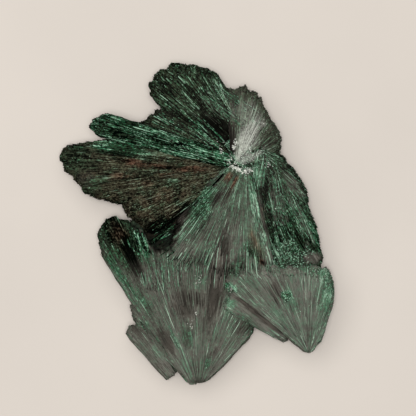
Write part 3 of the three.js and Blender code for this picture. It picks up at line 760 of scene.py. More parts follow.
def sweep(paths, ups, widths, heights, tones, along, profile):  # closed prisms along many paths
    profile = np.array(profile)
    count, steps = paths.shape[:2]
    sides = len(profile)
    forward = unit(np.gradient(paths, axis=1))
    sideways = unit(np.cross(ups, forward))
    ups = np.cross(forward, sideways)
    rings = paths[:, :, None] + sideways[:, :, None] * (profile[:, 0] * widths[..., None])[..., None]
    rings = rings + ups[:, :, None] * (profile[:, 1] * heights[..., None])[..., None]
    first = np.arange(count)[:, None, None] * steps * sides
    here = first + np.arange(steps - 1)[None, :, None] * sides
    m = np.arange(sides)[None, None]
    n = (m + 1) % sides
    quads = np.stack(np.broadcast_arrays(here + m, here + n, here + sides + n, here + sides + m), -1)
    start = first[:, 0] + np.arange(sides)
    caps = [start[:, ::-1], start + (steps - 1) * sides]
    shape = rings.shape[:3]
    offsets = profile[:, 0] * widths[..., None]
    lanes = (np.arange(count) * 0.617)[:, None, None] * 9
    coords = np.stack(np.broadcast_arrays(lanes + offsets, along[..., None], lanes * 0.3), -1)
    return {
        "points": rings.reshape(-1, 3),
        "faces": [quads.reshape(-1, 4), *caps],
        "tone": np.broadcast_to(tones[..., None], shape).reshape(-1),
        "coords": coords.reshape(-1, 3),
    }


splinterShape = {
    "steps": 3,
    "width": (0.2, 0.5),
    "length": (4.0, 15.0),
    "brightShare": 0.5,
    "lift": (0.0, 0.2),
    "height": (0.4, 0.7),
    "drift": 0.05,
    "taper": (0.8, 1.0, 1.0, 0.65),
    "profile": ((0.5, 0.0), (0.28, 0.5), (-0.28, 0.5), (-0.5, 0.0)),
}

fibreShape = {
    "steps": 3,
    "width": (0.12, 0.24),
    "length": (4.0, 18.0),
    "brightShare": 1.2,
    "lift": (0.0, 0.25),
    "height": (0.6, 1.0),
    "drift": 0.12,
    "taper": (0.7, 1.0, 0.9, 0.5),
    "profile": ((0.5, 0.0), (0.0, 1.0), (-0.5, 0.0)),
}

# How fibres lie along a fan. Reach, roots and tips are shares of the way from the focus to the heads.
laying = {
    "reach": 1.03,
    "tips": (0.06, 1.0),
    "roots": (0.01, 0.95),
    "innerLength": 0.35,
    "innerWidth": 0.4,
    "sink": -0.06,
    "rise": 1.4,  # how soon a fibre comes up from below the surface
    "brightness": (0.25, 0.4),  # least that a bright fibre is lighter, and how much more it may be
}

# The height map of all fans, the back and the tufts. Small pieces on the tops of fans and on tufts aren't
# made where they lie deeper than "hidden" below it, and what lies deeper than "marked" has no markings.
surface = {"cell": 0.4, "low": lowCorner[:2], "hidden": 0.9, "marked": 3.5, "fade": 1.5}


def surfaceCell(points):
    cell = np.floor((points[..., :2] - surface["low"]) / surface["cell"]).astype(int)
    return tuple(np.clip(cell[..., k], 0, surface["heights"].shape[k] - 1) for k in (0, 1))


def mapSurface(tops):
    surface["heights"] = np.zeros(np.ceil((highCorner - lowCorner)[:2] / surface["cell"]).astype(int) + 1)
    for grid in tops:
        dense = alongRow(grid.swapaxes(0, 1), np.arange(0, grid.shape[1] - 1, 0.2)).reshape(-1, 3)
        np.maximum.at(surface["heights"], surfaceCell(dense), dense[:, 2])
    turn = np.linspace(0, 2 * math.pi, 60, endpoint=False)[:, None]
    for x, y, z, radius in tufts["places"]:
        out = np.linspace(0, 0.97, 20)[None] * radius
        centre = fitPlan(np.array((x, y, z), float))
        xy = np.stack([centre[0] + out * np.cos(turn), centre[1] + out * np.sin(turn)], -1).reshape(-1, 2)
        rise = np.broadcast_to(z + np.sqrt(radius**2 - out**2), (60, 20)).reshape(-1) - dentDepth(xy)
        np.maximum.at(surface["heights"], surfaceCell(xy), rise)


def heightAt(points):
    return surface["heights"][surfaceCell(points)]


def scatterTones(chance, number, shade):  # mostly even, and a share of bright ones: partly lighter fibres, partly painted glints
    bright = chance.random(number) < shade[2]
    least, more = laying["brightness"]
    glow = np.where(bright, least + more * chance.random(number), 0)
    return shade[0] + shade[1] * chance.normal(0, 0.8, number) + glow


def tonesAlong(chance, number, shade, points):  # one tone for each prism, the same all along it
    return np.repeat(scatterTones(chance, number, shade)[:, None], points, axis=1)


def anyColumn(grid, chance, number):
    return chance.random(number) * (grid.shape[0] - 1.001)


def upright(paths):
    return np.broadcast_to((0.0, 0.0, 1.0), paths.shape)


# Prisms that lie along a fan's surface.
def lay(grid, v, chance, count, shape, shade, stout=1.0, isTop=False):
    normals = normalsOf(grid)
    rows = np.arange(len(v))
    across = anyColumn(grid, chance, count)
    nearest = across.astype(int)
    reach = np.linalg.norm(grid[:, -2] - grid[:, 0], axis=1)[nearest]
    tip = np.clip(np.sqrt(chance.random(count)) * laying["reach"], *laying["tips"])
    length = chance.uniform(*shape["length"], count) * between((laying["innerLength"], 1), tip)
    root = np.clip(tip - length / reach, *laying["roots"])
    tipRow = np.clip(np.interp(tip, v, rows).astype(int), 0, len(v) - 2)
    spacing = np.maximum(np.linalg.norm(grid[nearest + 1, tipRow] - grid[nearest, tipRow], axis=-1), 0.04)
    share = np.linspace(0, 1, shape["steps"] + 1)[None]
    drift = (chance.normal(0, shape["drift"], count) / spacing)[:, None] * share
    places = np.clip(across[:, None] + drift, 0, grid.shape[0] - 1.001)
    vs = root[:, None] + (tip - root)[:, None] * share
    alongRows = np.interp(vs, v, rows)
    points = sample(grid, places, alongRows)
    ups = unit(sample(normals, places, alongRows))
    sink = laying["sink"]
    raised = (chance.uniform(*shape["lift"], count) - sink)[:, None]
    points = points + ups * (sink + raised * smoothStep(share * laying["rise"]))[..., None]
    thinner = np.clip(between((laying["innerWidth"], 1), tip), 0, 1)
    widths = chance.uniform(*shape["width"], count) * thinner * stout
    widths = widths[:, None] * np.array(shape["taper"])[None]
    heights = widths * chance.uniform(*shape["height"], count)[:, None]
    tones = tonesAlong(chance, count, (*shade[:2], shade[2] * shape["brightShare"]), shape["steps"] + 1)
    shown = np.ones(count, bool)
    if isTop:
        flecks = growth["flecking"] * planNoise(points, 1.3, 57)
        tones = tones + np.clip(flecks, -1, 0.6) * np.maximum(tones - shade[0], 0)
        shown = (points[..., 2] > heightAt(points) - surface["hidden"]).any(axis=1)
        middle = points[:, shape["steps"] // 2 + 1, :2]
        shown &= chance.random(count) > markingMask(middle, "smooth")
    kept = (values[shown] for values in (points, ups, widths, heights, tones, vs * reach[:, None]))
    return sweep(*kept, shape["profile"])


drapeShape = {
    "steps": 4,
    "width": (0.16, 0.4),
    "height": (0.4, 0.7),
    "headStarts": ((0.72, 0.95), 0.97),  # where they start, and the rim that they cross, at the heads
    "focusStarts": ((0.12, 0.3), 0.02),
    "past": (0.2, 3.2),
    "drop": (-0.4, 3.2),
    "fall": 2.2,
    "bridge": 1.6,
    "taper": (0.7, 1.0, 1.0, 0.95, 0.7),
    "profile": ((0.5, 0.0), (0.25, 0.5), (-0.25, 0.5), (-0.5, 0.0)),
}


def drape(grid, v, chance, count, shade, atHeads):  # splinters that run on over what lies beside the fan
    shape = drapeShape
    across = anyColumn(grid, chance, count)
    first, last = shape["headStarts" if atHeads else "focusStarts"]
    rows = np.arange(len(v))
    start = sample(grid, across, np.interp(chance.uniform(*first, count), v, rows))
    rim = sample(grid, across, np.full(count, np.interp(last, v, rows)))
    forward = unit((rim - start) * (1, 1, 0))
    end = rim + forward * chance.uniform(*shape["past"], count)[:, None] * (1 if atHeads else 0.5)
    end[:, 2] = heightAt(end) + 0.05
    drop = start[:, 2] - end[:, 2]
    kept = (drop > shape["drop"][0]) & (drop < shape["drop"][1])
    kept &= start[:, 2] > heightAt(start) - surface["hidden"]
    start, end = start[kept], end[kept]
    share = np.linspace(0, 1, shape["steps"] + 1)[None, :, None]
    paths = start[:, None] + (end - start)[:, None] * share
    paths[..., 2] = end[:, 2:] + (start[:, 2:] - end[:, 2:]) * (1 - share[..., 0] ** shape["fall"])
    below = heightAt(paths)
    paths[..., 2] = np.maximum(paths[..., 2], below - 0.1)
    paths = paths[(paths[..., 2] - below).max(axis=1) <= shape["bridge"]]
    count, points = paths.shape[:2]
    widths = chance.uniform(*shape["width"], count)[:, None] * np.array(shape["taper"])[None]
    heights = widths * chance.uniform(*shape["height"], count)[:, None]
    tones = tonesAlong(chance, count, shade, points)
    along = np.linspace(0, 5, points)[None] + chance.random(count)[:, None] * 40
    return sweep(paths, upright(paths), widths, heights, tones, along, shape["profile"])


def needles(bases, directions, lengths, widths, tones):  # four-sided solids with one long point
    count = len(bases)
    helper = np.where(np.abs(directions[:, 2:]) < 0.9, (0, 0, 1), (1, 0, 0))
    sideways = unit(np.cross(helper, directions))
    up = np.cross(directions, sideways)
    angles = np.arange(3) * 2 * math.pi / 3
    ring = bases[:, None] + widths[:, None, None] * 0.5 * (
        sideways[:, None] * np.cos(angles)[None, :, None] + up[:, None] * np.sin(angles)[None, :, None]
    )
    tips = bases + directions * lengths[:, None]
    points = np.concatenate([ring, tips[:, None]], axis=1).reshape(-1, 3)
    first = np.arange(count)[:, None] * 4
    faces = [first + np.array(corners) for corners in ((0, 1, 3), (1, 2, 3), (2, 0, 3), (2, 1, 0))]
    shades = np.repeat(tones, 4).reshape(-1, 4) + (-0.2, -0.2, -0.2, 0.15)  # painted shade at the foot, painted light at the point
    coords = np.stack([np.arange(count * 4) * 0.37, np.tile((0, 0, 0, 0.5), count), np.zeros(count * 4)], -1)
    return {"points": points, "faces": [np.concatenate(faces)], "tone": shades.reshape(-1), "coords": coords}


# Short tips, grains and stubs: their spread in direction, length, width, how deep they stand in the surface,
# and how free they are of the pale grey that is partly a painted veil of glare.
tipShape = {"spread": 0.3, "length": (0.25, 0.6), "width": (0.2, 0.4), "sink": 0.15, "clear": 0.6}
grainShape = {"spread": 0.5, "length": (0.15, 0.4), "width": (0.3, 0.6), "sink": 0.08, "clear": 0.3}
stubShape = {"spread": 0.35, "length": (0.25, 0.6), "width": (0.25, 0.5), "sink": 0.15}


# Needles that stand on a surface.
def standing(bases, towards, chance, shape, shade=None, longer=1.0, shown=slice(None)):
    count = len(bases)
    directions = unit(towards + chance.normal(0, shape["spread"], (count, 3)))
    lengths = chance.uniform(*shape["length"], count) * longer
    widths = chance.uniform(*shape["width"], count)
    tones = scatterTones(chance, count, shade) if shade else chance.uniform(*shape["tone"], count)
    bases = bases - directions * shape["sink"]
    return needles(*(values[shown] for values in (bases, directions, lengths, widths, tones)))


def rimTips(top, under, v, chance, count, shade):  # short tips that stick out round the heads
    parts = []
    sides = ((top, 0.4, 1, growth["shoulder"]), (under, 0.6, -1, growth["underEdge"]))
    for grid, share, sign, first in sides:
        number = int(count * share)
        across = anyColumn(grid, chance, number)
        along = np.interp(first + (1 - first) * chance.random(number) ** 0.6, v, np.arange(len(v)))
        bases = sample(grid, across, along)
        outwards = unit((bases - sample(grid, across, np.full(number, 2.0))) * (1, 1, 0.3))
        spread = chance.normal(0, tipShape["spread"], (number, 3))
        normals = unit(sample(normalsOf(grid) * sign, across, along))
        directions = unit(outwards + 0.7 * normals * chance.random((number, 1)) + spread)
        lengths = chance.uniform(*tipShape["length"], number)
        widths = chance.uniform(*tipShape["width"], number)
        tones = scatterTones(chance, number, shade)
        part = needles(bases - directions * tipShape["sink"], directions, lengths, widths, tones)
        parts.append({**part, "clear": tipShape["clear"]})
    return parts


# Green fibres along the two side edges of a fan, lighter to paint a highlight on the edges: how many columns
# in, how stout and how much lighter.
edgeFibres = {
    "rows": np.linspace(0.02, 0.97, 30),
    "places": ((0.0, 1.5, 0.3), (0.4, 1.2, 0.25), (1.2, 1.0, 0.15), (2.4, 1.0, 0.15)),
    "wander": 0.3,
    "width": (0.14, 0.34),
    "height": 0.6,
    "toneSpread": 0.15,
    "clear": 0.75,
}


def rimLines(top, v, chance, shade):
    parts = []
    rows, count = edgeFibres["rows"], len(edgeFibres["rows"])
    alongRows = np.interp(rows, v, np.arange(len(v)))
    for column, inwards in ((0, 1), (top.shape[0] - 1, -1)):
        for offset, stout, lighter in edgeFibres["places"]:
            places = column + inwards * (offset + chance.normal(0, edgeFibres["wander"], count))
            path = sample(top, np.clip(places, 0, top.shape[0] - 1.001), alongRows)[None]
            widths = stout * chance.uniform(*edgeFibres["width"], (1, count))
            heights = widths * edgeFibres["height"]
            tones = shade[0] + lighter + chance.normal(0, edgeFibres["toneSpread"], (1, count))
            part = sweep(path, upright(path), widths, heights, tones, rows[None] * 30, fibreShape["profile"])
            parts.append({**part, "clear": edgeFibres["clear"]})
    return parts


def headGrains(grid, v, chance, count, shade, first):  # crumbs on the crumbly end of a fan
    across = anyColumn(grid, chance, count)
    along = np.interp(1 - (1 - first) * chance.random(count) ** 1.5, v, np.arange(len(v)))
    bases = sample(grid, across, along)
    shown = bases[:, 2] > heightAt(bases) - surface["hidden"]
    normals = unit(sample(normalsOf(grid), across, along))
    return {**standing(bases, normals, chance, grainShape, shade, shown=shown), "clear": grainShape["clear"]}


def glintGrains(grid, v, chance):  # small bright needles that paint glints, on the places marked for them
    length = np.linalg.norm(grid[:, -1] - grid[:, 0], axis=1).mean()
    area = length * np.linalg.norm(grid[-1, -1] - grid[0, -1]) * 0.6
    count = int(area * glints["perArea"])
    across = anyColumn(grid, chance, count)
    along = np.interp(np.sqrt(chance.random(count)), v, np.arange(len(v)))
    bases = sample(grid, across, along)
    shown = bases[:, 2] > heightAt(bases) - surface["hidden"]
    shown &= chance.random(count) < markingMask(bases, "glints")
    normals = unit(sample(normalsOf(grid), across[shown], along[shown]))
    return {**standing(bases[shown], normals, chance, glints), "clear": glints["clear"]}


def focusStubs(top, under, chance, shade):  # short broken ends of fibres on a blunt focus
    count = growth["stubs"]
    across = anyColumn(top, chance, count)
    rows = chance.random(count) * 3
    share = chance.random(count)[:, None]
    bases = sample(top, across, rows) * (1 - share) + sample(under, across, rows) * share
    backwards = unit((top[:, 0] - top[:, -1]).mean(axis=0) * (1, 1, 0))
    return standing(bases, backwards, chance, stubShape, shade)


def makeMesh(name, parts, material, layers):
    offsets = np.cumsum([0] + [len(part["points"]) for part in parts])
    points = np.clip(joined(parts, "points"), lowCorner + 0.02, highCorner - 0.02)
    loops, sizes = [], []
    for part, offset in zip(parts, offsets):
        for faces in part["faces"]:
            loops.append((faces + offset).reshape(-1))
            sizes.append(np.full(len(faces), faces.shape[1]))
    loops, sizes = np.concatenate(loops), np.concatenate(sizes)
    mesh = bpy.data.meshes.new(name)
    mesh.vertices.add(len(points))
    mesh.vertices.foreach_set("co", (points / 1000).astype(np.float32).ravel())
    mesh.loops.add(len(loops))
    mesh.loops.foreach_set("vertex_index", loops.astype(np.int32))
    mesh.polygons.add(len(sizes))
    mesh.polygons.foreach_set("loop_start", np.concatenate([[0], np.cumsum(sizes)[:-1]]).astype(np.int32))
    mesh.polygons.foreach_set("use_smooth", np.ones(len(sizes), bool))
    mesh.update(calc_edges=True)
    mesh.validate()
    for layer, values in layers.items():
        kind, field = ("FLOAT_VECTOR", "vector") if values.ndim == 2 else ("FLOAT", "value")
        mesh.attributes.new(layer, kind, "POINT").data.foreach_set(field, values.astype(np.float32).ravel())
    mesh.materials.append(material)
    piece = bpy.data.objects.new(name, mesh)
    bpy.context.collection.objects.link(piece)
    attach(piece, "root")
    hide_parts("malachite")
    triangles = int((sizes - 2).sum())
    print(f"{name}: {triangles} triangles")
    return triangles


def outward(part):  # turns the faces over if the closed mesh is inside out
    volume = 0
    for faces in part["faces"]:
        corners = part["points"][faces]
        for k in range(1, faces.shape[1] - 1):
            volume += (corners[:, 0] * np.cross(corners[:, k], corners[:, k + 1])).sum()
    if volume < 0:
        part["faces"] = [faces[:, ::-1] for faces in part["faces"]]
    return part


def fanParts(fan, grids, fanIndex):
    chance = np.random.default_rng(100 + fanIndex)
    top, under, v, shade = grids["top"], grids["under"], grids["v"], fan["shade"]
    body, wallGrids = closedFan(grids, shade, fanIndex)
    # Painted shade: fibres on the underside and the side walls are darker.
    dimmer = (shade[0] - 0.1, shade[1], shade[2])
    parts = [outward(body)]
    # (shape, number, divisor and stoutness on the underside, least number and stoutness on a side wall)
    kinds = ((splinterShape, fan["splinters"], 3, 1.4, 15, 1), (fibreShape, fan["fibres"], 4, 1.5, 20, 1.3))
    for shape, number, *_ in kinds:
        parts.append(lay(top, v, chance, number, shape, shade, isTop=True))
    for shape, number, underShare, stout, *_ in kinds:
        parts.append(lay(under[::-1], v, chance, number // underShare, shape, dimmer, stout))
    for grid in wallGrids:
        for shape, number, _, _, least, stout in kinds:
            parts.append(lay(grid[::-1], v, chance, least + number // 12, shape, dimmer, stout))
    for atHeads, number in ((True, fan["drapes"]), (False, growth["focusDrapes"])):
        parts.append(drape(top, v, chance, number, shade, atHeads))
    parts.append(headGrains(top, v, chance, fan["grains"], shade, min(fan["crumbly"][0], 0.9)))
    parts.append(glintGrains(top, v, chance))
    if fan.get("bluntEnd", False):
        parts.append(focusStubs(top, under, chance, shade))
    parts += rimTips(top, under, v, chance, fan["tips"], shade)
    return parts + rimLines(top, v, chance, shade)


def fanLayers(fan, top, parts):
    points, tone = joined(parts, "points"), joined(parts, "tone")
    xy, crumbly = points[:, :2], fan["crumbly"]
    focus = fitPlan(np.array(fan["focus"], float))[:2]
    reach = np.linalg.norm(top[:, -1] - top[:, 0], axis=1).mean()
    way = np.clip(np.linalg.norm(xy - focus, axis=1) / reach, 0, 1)
    edge = raggedEdge(xy)
    upper = smoothStep((surface["marked"] - heightAt(xy) + points[:, 2]) / surface["fade"])
    masks = {kind: upper * markingMask(xy, kind, edge) for kind in markings}
    # How pale and grey the fibres are: partly paler fibres, partly a painted veil of glare.
    paleAndGlare = between(fan["paleAndGlare"], way)
    amount, pitch = growth["paleAndGlarePatches"]
    paleAndGlare = paleAndGlare + amount * paleAndGlare * planNoise(xy, pitch, 81)
    clear = np.concatenate([np.full(len(part["points"]), part.get("clear", 0.0)) for part in parts])
    paleAndGlare = np.maximum(paleAndGlare, masks["pale"]) * (1 - masks["green"]) * (1 - masks["deep"]) * (1 - clear)
    crumbs = crumbly[1] * smoothStep((way - crumbly[0]) / max(1.02 - crumbly[0], 0.05))
    for kind, change in markingTones.items():
        tone = tone + change * masks[kind]
    return {
        "tone": tone,
        "paleAndGlare": np.clip(paleAndGlare, 0, 1),
        "stain": np.maximum(masks["stain"], fan["earth"] * (1 - masks["green"])),
        "paintedSheen": masks["paintedSheen"],
        "calm": masks["smooth"],
        "crumbs": np.clip(np.maximum(crumbs, masks["crumbly"]), 0, 1),
        "fibreCoords": joined(parts, "coords"),
    }


def makeFan(name, fan, grids, fanIndex, material):
    parts = fanParts(fan, grids, fanIndex)
    return makeMesh(name, parts, material, fanLayers(fan, grids["top"], parts))


def tuftParts(index, x, y, z, radius, chance):  # a lumpy ball, and needles all over it
    bpy.ops.mesh.primitive_ico_sphere_add(subdivisions=5, radius=1)
    ball = bpy.context.object
    outwards = np.zeros(len(ball.data.vertices) * 3)
    ball.data.vertices.foreach_get("co", outwards)
    outwards = outwards.reshape(-1, 3)
    faces = np.array([polygon.vertices[:] for polygon in ball.data.polygons])
    bpy.data.objects.remove(ball)
    bumps = 0
    for size, pitch, rise, seed in tufts["bumps"]:
        up = outwards[:, 1] * pitch + outwards[:, 2] * rise
        bumps = bumps + size * softNoise(outwards[:, 0] * pitch + index, up, seed + index)
    size = radius * (1 - tufts["inset"] + tufts["roughness"] * 0.5 * bumps)
    points = fitPlan(np.array((x, y, z), float)) + outwards * size[:, None]
    points[:, 2] -= dentDepth(points) * smoothStep(outwards[:, 2] * 3)
    tone = np.full(len(points), tufts["shade"][0] + tufts["bodyTone"])
    body = {"points": points, "faces": [faces], "tone": tone, "coords": outwards[:, [0, 2, 1]] * 9}
    count = int(4 * math.pi * radius**2 * tufts["needlesPerArea"])
    spots = chance.integers(0, len(points), count)
    shown = points[spots, 2] > heightAt(points[spots]) - surface["hidden"]
    smooth = markingMask(points[spots], "smooth") * (points[spots, 0] > tufts["facetFrom"])
    shown &= chance.random(count) > smooth
    spots, shorter = spots[shown], min(1, radius / 2.4)
    return [body, standing(points[spots], outwards[spots], chance, tufts["needles"], tufts["shade"], shorter)]


def makeTufts(material):
    parts = []
    chance = np.random.default_rng(300)
    for index, place in enumerate(tufts["places"]):
        parts += tuftParts(index, *place, chance)
    greenCount = len(joined(parts, "points"))
    # Painted sparkle: small white needles that stand in for glints, given the whole whitish sheen colour.
    for x, y, spread, count in paintedSparkle["places"]:
        bases = fitPlan(np.array((x, y, 0.0)) + chance.normal(0, spread, (count, 3)) * (1, 1, 0))
        bases[:, 2] = heightAt(bases)
        parts.append(standing(bases, (0, 0, 1), chance, paintedSparkle))
    xy = joined(parts, "points")[:, :2]
    paintedSheen = markingMask(xy, "paintedSheen")
    isSparkle = np.arange(len(xy)) >= greenCount
    # Lighter under the bright markings, partly painted highlights.
    brighter = np.where(isSparkle, 0, markingTones["bright"] * markingMask(xy, "bright"))
    layers = {
        "tone": joined(parts, "tone") + brighter,
        # Paler and greyer under the painted sheen and the pale markings, partly a painted veil of glare.
        "paleAndGlare": np.maximum(np.maximum(0.12, 0.6 * paintedSheen), markingMask(xy, "pale")),
        "stain": np.zeros(len(xy)),
        "paintedSheen": np.where(isSparkle, 1.0, paintedSheen),
        "calm": markingMask(xy, "smooth") * (xy[:, 0] > tufts["facetFrom"]),
        "crumbs": np.full(len(xy), 0.5),
        "fibreCoords": joined(parts, "coords"),
    }
    return makeMesh("tufts", parts, material, layers)


def makeCrossings(material):
    parts, paleAndGlareValues = [], []
    chance = np.random.default_rng(400)
    for x0, y0, x1, y1, spread, count, tone, paleAndGlare, stout in crossings["bundles"]:
        start, end = fitPlan(np.array((x0, y0, 0.0))), fitPlan(np.array((x1, y1, 0.0)))
        forward, length = unit(end - start), np.linalg.norm(end - start)
        sideways = np.array((-forward[1], forward[0], 0))
        first = chance.random((count, 1)) * crossings["latestStart"]
        last = np.clip(first + chance.uniform(*crossings["share"], (count, 1)), 0, 1)
        share = first + (last - first) * np.linspace(0, 1, math.ceil(length / crossings["step"]) + 1)[None]
        offset = chance.normal(0, spread, (count, 1))
        offset = offset + chance.normal(0, 0.25 * spread, (count, 1)) * share
        paths = start + (end - start) * share[..., None] + sideways * offset[..., None]
        z = heightAt(paths)
        padded = np.concatenate([z[:, :1], z, z[:, -1:]], axis=1)
        paths[..., 2] = np.maximum((padded[:, :-2] + 2 * z + padded[:, 2:]) / 4, z - 0.12) + crossings["lift"]
        even = np.abs(np.diff(z, axis=1)).max(axis=1) < crossings["steepest"]
        paths, count = paths[even], int(even.sum())
        widths = stout * chance.uniform(*crossings["width"], (count, 1)) * np.ones(paths.shape[:2])
        widths[:, [0, -1]] *= crossings["endWidth"]
        heights = widths * crossings["height"]
        tones = tonesAlong(chance, count, (tone, *crossings["shade"]), paths.shape[1])
        along = share[even] * length
        parts.append(sweep(paths, upright(paths), widths, heights, tones, along, fibreShape["profile"]))
        paleAndGlareValues.append(np.full(len(parts[-1]["points"]), paleAndGlare))
    xy = joined(parts, "points")[:, :2]
    none = np.zeros(len(xy))
    layers = {
        "tone": joined(parts, "tone"),
        "paleAndGlare": np.concatenate(paleAndGlareValues),
        "stain": none,
        "paintedSheen": markingMask(xy, "paintedSheen"),
        "calm": none,
        "crumbs": none,
        "fibreCoords": joined(parts, "coords"),
    }
    return makeMesh("crossingFibres", parts, material, layers)


def backGrid():
    middle = np.array(brokenBack["middle"], float)
    corners = np.array(brokenBack["corners"], float)
    profile = np.array(brokenBack["profile"], float)
    cornerCount = len(corners)
    level = np.arange(len(profile))
    wall = (profile[:, 0] > 0.5) & (profile[:, 1] > 0)
    lift = brokenBack["wallRoughness"] * jitter(np.arange(cornerCount)[:, None], 12 + level[None]) * wall
    around = np.arange(cornerCount * brokenBack["cornerSteps"]) / brokenBack["cornerSteps"]
    padded = np.concatenate([corners[-2:], corners, corners[:2]])
    ring = alongRow(padded, around + 2)
    liftRing = alongRow(np.concatenate([lift[-2:], lift, lift[:2]]), around + 2)
    stations = np.arange((len(profile) - 2) * brokenBack["levelSteps"] + 1) / brokenBack["levelSteps"] + 1
    shares = np.interp(stations, level, profile[:, 0])
    heights = np.interp(stations, level, profile[:, 1])
    lifts = np.stack([np.interp(stations, level, row) for row in liftRing])
    spots = middle + (ring - middle)[:, None] * shares[None, :, None]
    turn = around[:, None] * 0.9
    rough = 0
    for size, pitch, rise, seed in brokenBack["bumps"]:
        rough = rough + size * softNoise(turn * pitch, heights[None] * rise, seed)
    edgeFree = np.clip(heights[None] * 2, 0, 1) * np.clip((shares[None] - 0.1) * 4, 0, 1)
    outwards = unit(ring - middle)[:, None]
    bitten = brokenBack["brokenFoot"] * (0.5 + 0.5 * softNoise(turn * 8, heights[None] * 0.9, 63))
    bitten = bitten * np.clip(1.2 - heights[None] / 3, 0, 1)
    spots = spots + outwards * (brokenBack["crumble"] * rough * edgeFree - bitten)[..., None]
    points = np.concatenate([spots, (heights[None] + lifts)[..., None]], -1)
    return fitPlan(points), around, heights


def makeBack(grid, material):
    points, around, heights = grid
    middle = np.array(brokenBack["middle"], float)
    profile = np.array(brokenBack["profile"], float)
    count, levels = points.shape[:2]
    flat = points[:, :-1].reshape(-1, 3)
    levels -= 1
    i, k = np.meshgrid(np.arange(count), np.arange(levels - 1), indexing="ij")
    j = (i + 1) % count
    here, beside = i * levels + k, j * levels + k
    quads = np.stack([here, beside, beside + 1, here + 1], -1).reshape(-1, 4)
    bottomMiddle, topMiddle = len(flat), len(flat) + 1
    centre = fitPlan(np.array((*middle, 0.0)))
    flat = np.concatenate([flat, [centre], [centre + (0, 0, profile[-1, 1])]])
    i = np.arange(count)
    j = (i + 1) % count
    under = np.stack([j * levels, i * levels, np.full(count, bottomMiddle)], -1)
    over = np.stack([(i + 1) * levels - 1, (j + 1) * levels - 1, np.full(count, topMiddle)], -1)
    coords = np.zeros((len(flat), 3))
    coords[:-2, 0] = np.repeat(around, levels) * 4
    coords[:-2, 1] = np.tile(heights[:levels], count)
    faces, tone = [quads, under, over], np.zeros(len(flat))
    part = outward({"points": flat, "faces": faces, "tone": tone, "coords": coords})
    chance = np.random.default_rng(500)
    crumbs = brokenBack["crumbs"]
    number = crumbs["count"]
    across = anyColumn(points, chance, number)
    bases = sample(points, across, chance.uniform(1, levels - 2, number))
    directions = unit((bases - centre) * (1, 1, 0.2) + chance.normal(0, crumbs["spread"], (number, 3)))
    tones = chance.normal(*crumbs["tone"], number)
    lengths = chance.uniform(*crumbs["length"], number)
    widths = chance.uniform(*crumbs["width"], number)
    parts = [part, needles(bases, directions, lengths, widths, tones)]
    layers = {
        # Darker under the dark markings: partly painted shade in the crevices where the back shows.
        "tone": joined(parts, "tone") - markingMask(joined(parts, "points"), "dark"),
        "fibreCoords": joined(parts, "coords"),
    }
    return makeMesh("brokenBack", parts, material, layers)


def fillSockets(tree, made, inputs):  # inputs are {socket name or number: value or another socket}
    for socket, value in dict(inputs).items():
        if isinstance(value, bpy.types.NodeSocket):
            tree.links.new(value, made.inputs[socket])
        else:
            made.inputs[socket].default_value = value
    return made


def addNode(tree, kind, inputs=(), **settings):
    made = tree.nodes.new("ShaderNode" + kind)
    for name, value in settings.items():
        setattr(made, name, value)
    return fillSockets(tree, made, inputs)


def mathNode(tree, operation, *values, clamp=False):
    return addNode(tree, "Math", dict(enumerate(values)), operation=operation, use_clamp=clamp).outputs[0]


def mixColour(tree, share, first, second, blend="MIX"):
    inputs = {0: share, 6: first, 7: second}
    return addNode(tree, "Mix", inputs, data_type="RGBA", blend_type=blend).outputs[2]


def noise(tree, place, scale, detail, roughness=0.5):
    inputs = {"Vector": place, "Scale": scale, "Detail": detail, "Roughness": roughness}
    return addNode(tree, "TexNoise", inputs).outputs[0]


def mapped(tree, value, span, result=(0.0, 1.0)):
    return addNode(tree, "MapRange", dict(enumerate((value, *span, *result)))).outputs[0]


def swing(tree, value, amount):  # from 0 to 1, turned into a swing about 0
    return mathNode(tree, "MULTIPLY", mathNode(tree, "SUBTRACT", value, 0.5), amount)


def rgba(colour):
    return (*colour, 1.0)


def newGroup(name, inputs, outputs):  # a number makes a float socket with that value, and a word names a kind
    tree = bpy.data.node_groups.new(name, "ShaderNodeTree")
    for label, value in inputs.items():
        kind = value if isinstance(value, str) else "Float"
        socket = tree.interface.new_socket(label, in_out="INPUT", socket_type="NodeSocket" + kind)
        if kind == "Float":
            socket.default_value = value
    for label, kind in outputs.items():
        tree.interface.new_socket(label, in_out="OUTPUT", socket_type="NodeSocket" + kind)
    return tree, tree.nodes.new("NodeGroupInput").outputs, tree.nodes.new("NodeGroupOutput").inputs


def useGroup(tree, group, inputs):
    made = tree.nodes.new("ShaderNodeGroup")
    made.node_tree = group
    return fillSockets(tree, made, inputs).outputs


